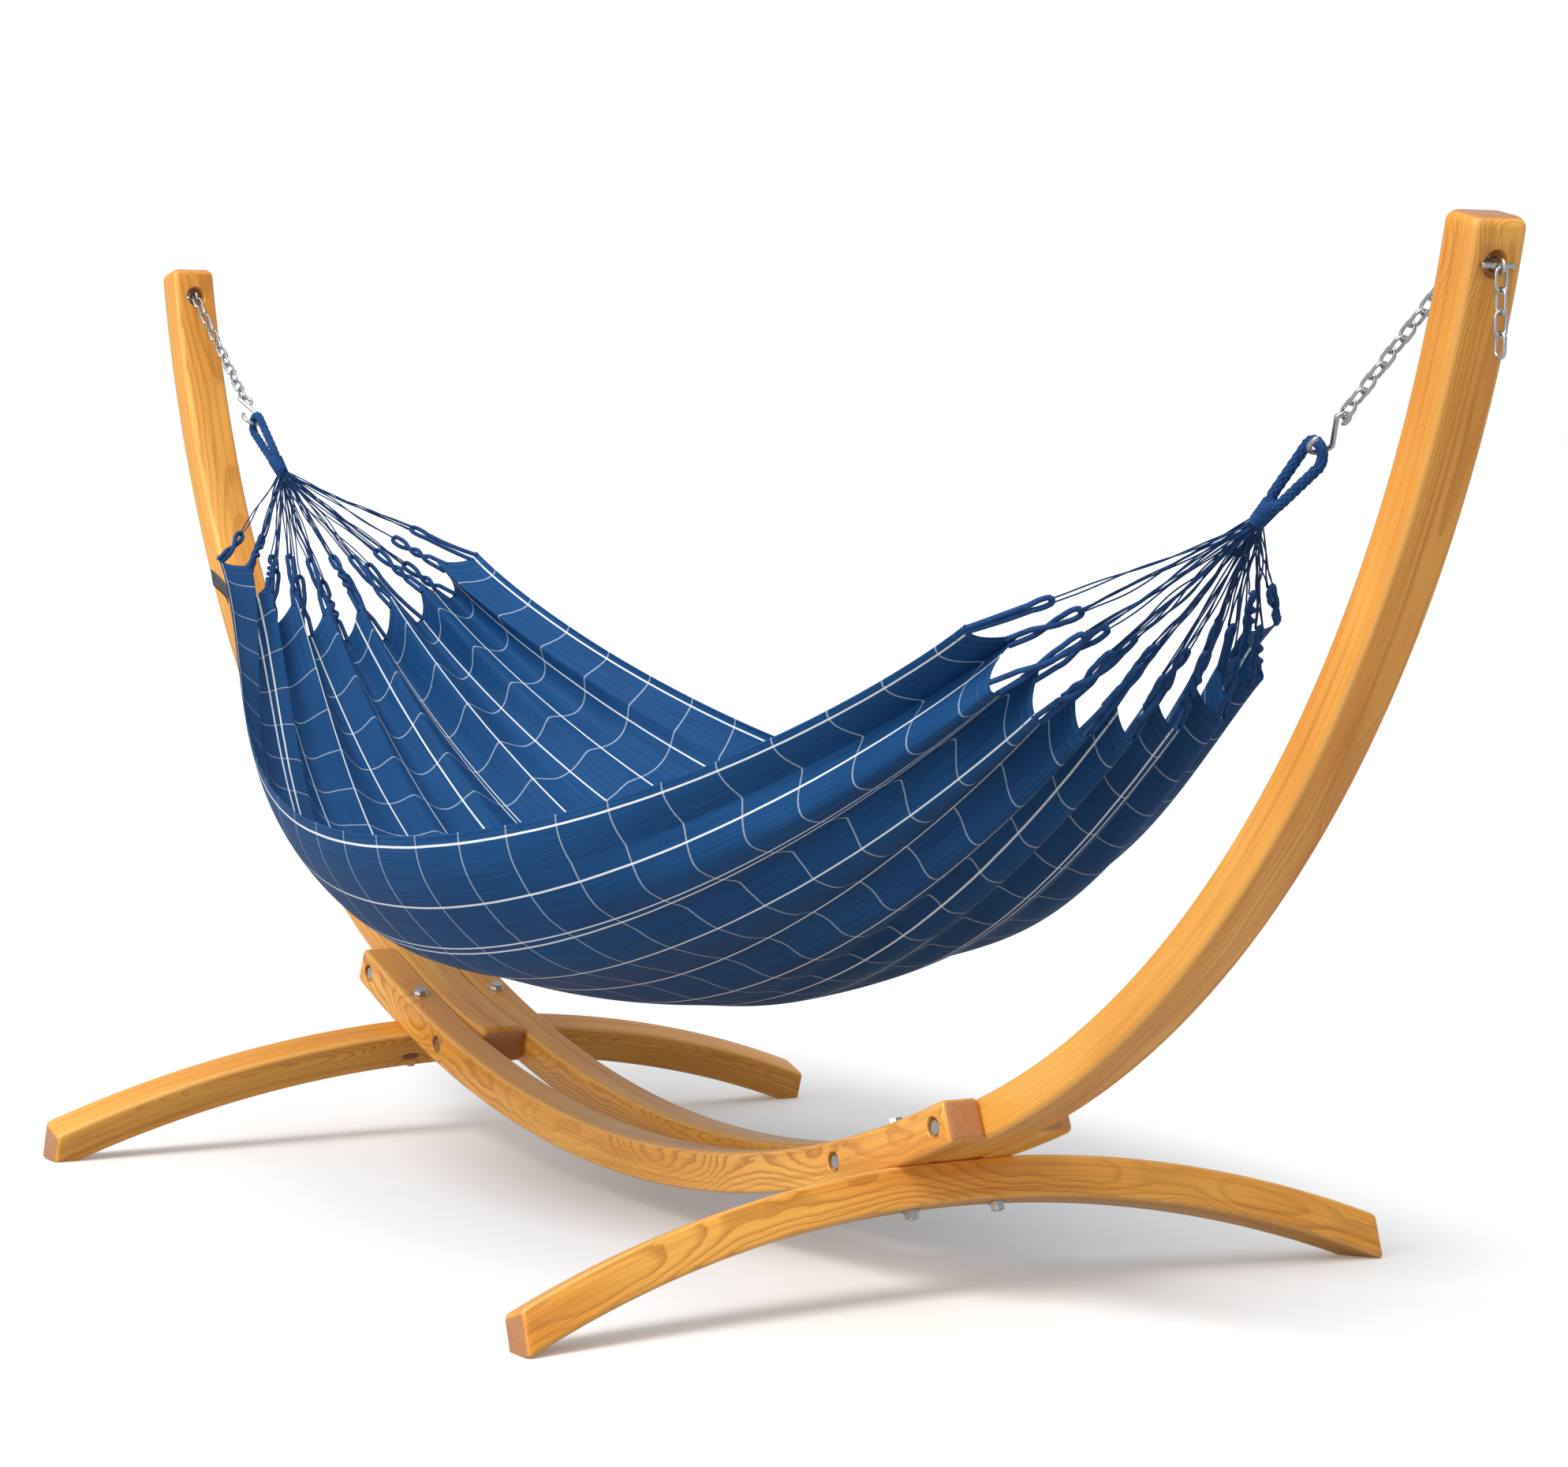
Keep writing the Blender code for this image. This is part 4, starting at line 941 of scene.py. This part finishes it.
def make_suspension(side_name, hook_wire):
    side = SIDES[side_name]
    slope = math.radians(LOOP_SLOPE)
    pull = np.array((-side * math.cos(slope), 0.0, -math.sin(slope)))
    upright = np.array((-side * math.sin(slope), 0.0, math.cos(slope)))
    bow_centre = hook_wire + pull * (LOOP_BOW - HOOK_WIRE - HOOK_PLAY - LOOP_BAND)
    neck_centre = bow_centre + pull * LOOP_LENGTH
    lean = math.degrees(math.asin((LOOP_BOW - LOOP_NECK) / LOOP_LENGTH))
    path = np.vstack((bend_points(bow_centre, pull, upright, LOOP_BOW, 90 - lean, 270 + lean, 40),
                      bend_points(neck_centre, pull, upright, LOOP_NECK, -90 + lean, 90 - lean, 24)))
    path = resample(np.vstack((path, path[:1])), 0.0009)[:-1]
    soup = Soup()
    add_tube(soup, path, LOOP_BAND, 40, closed=True, flat_normal=Y_AXIS,
             relief=knit_relief(0.0125, 7, 0.15))
    loop = soup.build(f"head_loop_{side_name}_braid", BRAID)
    dress(loop, "hammock", "navy_cord", f"head_loop_{side_name}")

    collar = neck_centre + pull * (LOOP_NECK + LOOP_BAND + GAP + COLLAR_RADIUS)
    start = neck_centre + pull * (LOOP_NECK + LOOP_BAND * 0.2)
    wrap = resample(np.array((start, collar + pull * 0.018)), 0.00035)
    share = np.linspace(0, 1, len(wrap))
    radius = 0.0118 - 0.0022 * share + 0.0009 * np.abs(np.sin(math.pi * share * COLLAR_WINDINGS))
    radius = radius * np.clip(np.sin(np.clip(share, 0.02, 0.98) * math.pi) * 9, 0.35, 1) ** 0.5
    soup = Soup()
    add_tube(soup, wrap, radius, 36, relief=rope_relief(0.020, 9, 0.06))
    wrapping = soup.build(f"collar_{side_name}", BRAID)
    dress(wrapping, "hammock", "navy_cord")

    braids = Soup()
    strings = Soup()
    count = 2 * PLEATS
    base = collar + pull * 0.014
    goals = RNG.permutation(3 * (count + 1))
    taken = 0
    for index in range(count + 1):
        v = 2 * index / count - 1
        step = RNG.uniform(0.018, 0.034)
        legs = []
        for place_across in (v - step, v + step):
            place_across = float(np.clip(place_across, -HEM_LIMIT, HEM_LIMIT))
            hem = cloth_row(side * 1.0, [place_across])[0]
            legs.append(blend(hem, cloth_row(side * 0.985, [place_across])[0], 0.35))
        near = (legs[0] + legs[1]) / 2
        aim = unit(base - near)
        normal = unit(np.cross(legs[1] - legs[0], aim))
        tip = (near + aim * BRAID_LENGTH * RNG.uniform(0.78, 1.16) + normal * RNG.uniform(-0.005, 0.005)
               - Z_AXIS * RNG.uniform(0.0, 0.006))
        turns = RNG.choice([0, 1, 2, 3], p=[0.2, 0.35, 0.3, 0.15]) * RNG.choice([-1, 1])
        path, through, axis = braid_path(legs[0], legs[1], tip, turns, RNG.uniform(0, 0.004))
        path = resample(path, 0.00085)
        add_tube(braids, path, BRAID_RADIUS * rounded_ends(len(path), 3), 12,
                 relief=rope_relief(0.0100, 3, 0.26, RNG.uniform(0, 6)))
        eye = tip + axis * (BRAID_RADIUS * 1.5)
        for pair in range(2 if index % 3 else 1):
            held = BRAID_RADIUS + STRING_RADIUS
            beside = np.cross(axis, through) * (0.0012 * (2 * pair - 1))
            turn_points = [eye + beside + (through * math.cos(a) - axis * math.sin(a)) * held
                           for a in np.linspace(0, math.pi, 7)]
            ends = []
            for _ in range(2):
                number = goals[taken % len(goals)]
                taken += 1
                spread = FAN_RADIUS * math.sqrt((number + 0.5) / len(goals))
                angle = SPIRAL_TURN * number
                ends.append(base + (Y_AXIS * math.cos(angle) + upright * math.sin(angle)) * spread)
            up = sway(ends[0], turn_points[0], RNG.uniform(0.0015, 0.0060), RNG.uniform(0, 6))
            down = sway(turn_points[-1], ends[1], RNG.uniform(0.0015, 0.0060), RNG.uniform(0, 6))
            path = resample(np.vstack((up, turn_points[1:-1], down)), 0.004)
            add_tube(strings, path, STRING_RADIUS, 7)
    braid = braids.build(f"braids_{side_name}", BRAID)
    dress(braid, "hammock", "navy_cord")
    fan = strings.build(f"strings_{side_name}", STRING)
    dress(fan, "hammock", "navy_cord", f"cord_fan_{side_name}")


def make_label():
    """Plain black folded label sewn to the rim near the left end, leaning outward."""
    rows = []
    for share in np.linspace(0, 1, 18):
        rim = cloth_row(blend(*LABEL_SPAN, share), [-1.0])[0]
        row = []
        for turn in np.linspace(0, 1, 27):
            reach = blend(-LABEL_TUCK, LABEL_HEIGHT, 1 - abs(2 * turn - 1))
            gap = (0.0006 + 0.0007 * math.sin(math.pi * share)) * (1 if turn > 0.5 else -1)
            gap *= math.sqrt(max(0.0, 1 - (max(0.0, reach) / 0.0292) ** 6))
            lean = max(0.0, reach) * (0.62 + 9.0 * max(0.0, reach))
            row.append(rim + Z_AXIS * reach * 0.80 - Y_AXIS * (0.0022 + lean + gap)
                       + X_AXIS * 0.0010 * math.sin(5 * share + 40 * reach))
        rows.append(row)
    soup = Soup()
    soup.grid(np.array(rows))
    return thicken(soup.build("label_woven", LABEL), LABEL_THICKNESS)


# -------- the object

def dress(piece, body, slot, *nodes):
    """Hang a piece on its body and let it stand for its CAD nodes."""
    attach(piece, body)
    if nodes:
        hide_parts(*nodes)
    return piece


def dress_bolts():
    """Bolts and nuts keep their CAD shape, with softened edges and a zinc finish."""
    for name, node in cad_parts.items():
        if name.split("_")[1] in ("bolt", "nut"):
            node.data.materials.clear()
            node.data.materials.append(BOLT_ZINC)
            soft = node.modifiers.new("soft_edges", "BEVEL")
            soft.width = 0.0006
            soft.segments = 2
            soft.limit_method = "ANGLE"
            soft.angle_limit = math.radians(35)
            soft.harden_normals = True


def build_object():
    dress(make_rail("front", 3.1, (1.0, 1.0, 1.0)), "stand", "larch", "rail_front")
    dress(make_rail("rear", 11.7, (1.05, 1.04, 1.02)), "stand", "larch", "rail_rear")
    dress(make_arm("left", 23.9, (0.97, 0.95, 0.92), 0.85), "stand", "larch", "arm_left")
    dress(make_arm("right", 37.3, (1.0, 0.98, 0.95), 0.20), "stand", "larch", "arm_right")
    dress(make_foot("left", 51.2, (0.98, 0.97, 0.95)), "stand", "larch", "foot_left")
    dress(make_foot("right", 64.8, (1.02, 1.02, 1.0)), "stand", "larch", "foot_right")
    dress_bolts()
    for side_name in SIDES:
        make_suspension(side_name, make_chain(side_name))
    cloth = dress(make_cloth(), "hammock", "navy_cloth", "hammock_bed")
    label = dress(make_label(), "hammock", "label_cloth", "hammock_label")


# -------- floor, light and camera

def make_floor():
    soup = Soup()
    edges = (-FLOOR_HALF, FLOOR_HALF)
    soup.grid(np.array([[(x, y, 0) for x in edges] for y in edges]))
    s = Shader("pale_floor")
    here = s.here()
    tone = s.mix(s.noise(here, 3.0, 3.0), (0.86, 0.86, 0.86), (0.88, 0.88, 0.88))
    seen = s.node("ShaderNodeLightPath").outputs["Is Camera Ray"]
    tone = s.mix(seen, (0.46, 0.46, 0.46), tone)
    floor = soup.build("floor", s.finish(Base_Color=tone, Roughness=0.7, Specular_IOR_Level=0.2))
    floor.location.z = -FLOOR_DROP


def add_sun(name, direction, strength, angle, colour=(1, 1, 1), shadow=True):
    light = bpy.data.lights.new(name, "SUN")
    light.energy = strength
    light.angle = math.radians(angle)
    light.color = colour
    light.use_shadow = shadow
    item = bpy.data.objects.new(name, light)
    item.rotation_mode = "QUATERNION"
    item.rotation_quaternion = Vector(direction).to_track_quat("-Z", "Y")
    bpy.context.scene.collection.objects.link(item)


def light_scene():
    world = bpy.data.worlds.new("studio")
    world.use_nodes = True
    tree = world.node_tree
    background = tree.nodes["Background"]
    background.inputs["Color"].default_value = (0.96, 0.98, 1.0, 1.0)
    background.inputs["Strength"].default_value = 0.53
    seen = tree.nodes.new("ShaderNodeBackground")
    seen.inputs["Color"].default_value = (1.0, 1.0, 1.0, 1.0)
    choice = tree.nodes.new("ShaderNodeMixShader")
    path = tree.nodes.new("ShaderNodeLightPath")
    tree.links.new(path.outputs["Is Camera Ray"], choice.inputs[0])
    tree.links.new(background.outputs[0], choice.inputs[1])
    tree.links.new(seen.outputs[0], choice.inputs[2])
    tree.links.new(choice.outputs[0], tree.nodes["World Output"].inputs["Surface"])
    bpy.context.scene.world = world
    add_sun("key", (-0.30, 0.78, -1.05), 1.74, 24, WARM_LIGHT)
    add_sun("front", (-0.12, 1.0, -0.38), 1.02, 40, WARM_LIGHT)
    add_sun("top", (-0.25, -0.15, -1.0), 0.35, 50)
    add_sun("fill", (-0.30, 0.42, -1.00), 1.02, 60, (1.0, 0.97, 0.95), shadow=False)
    bpy.context.scene.view_settings.view_transform = "Standard"
    bpy.context.scene.view_settings.look = "None"


def place_camera():
    camera = bpy.data.cameras.new("camera")
    camera.sensor_fit = "HORIZONTAL"
    camera.sensor_width = 36.0
    camera.lens = CAMERA_LENS
    camera.clip_start = 0.1
    camera.clip_end = 300
    item = bpy.data.objects.new("camera", camera)
    right = Vector(CAMERA_RIGHT)
    up = Vector(CAMERA_UP)
    back = right.cross(up).normalized()
    turn = Matrix((right, up, back)).transposed().to_4x4()
    turn.translation = Vector(CAMERA_PLACE)
    item.matrix_world = turn
    bpy.context.scene.collection.objects.link(item)
    bpy.context.scene.camera = item


build_object()
make_floor()
light_scene()
place_camera()
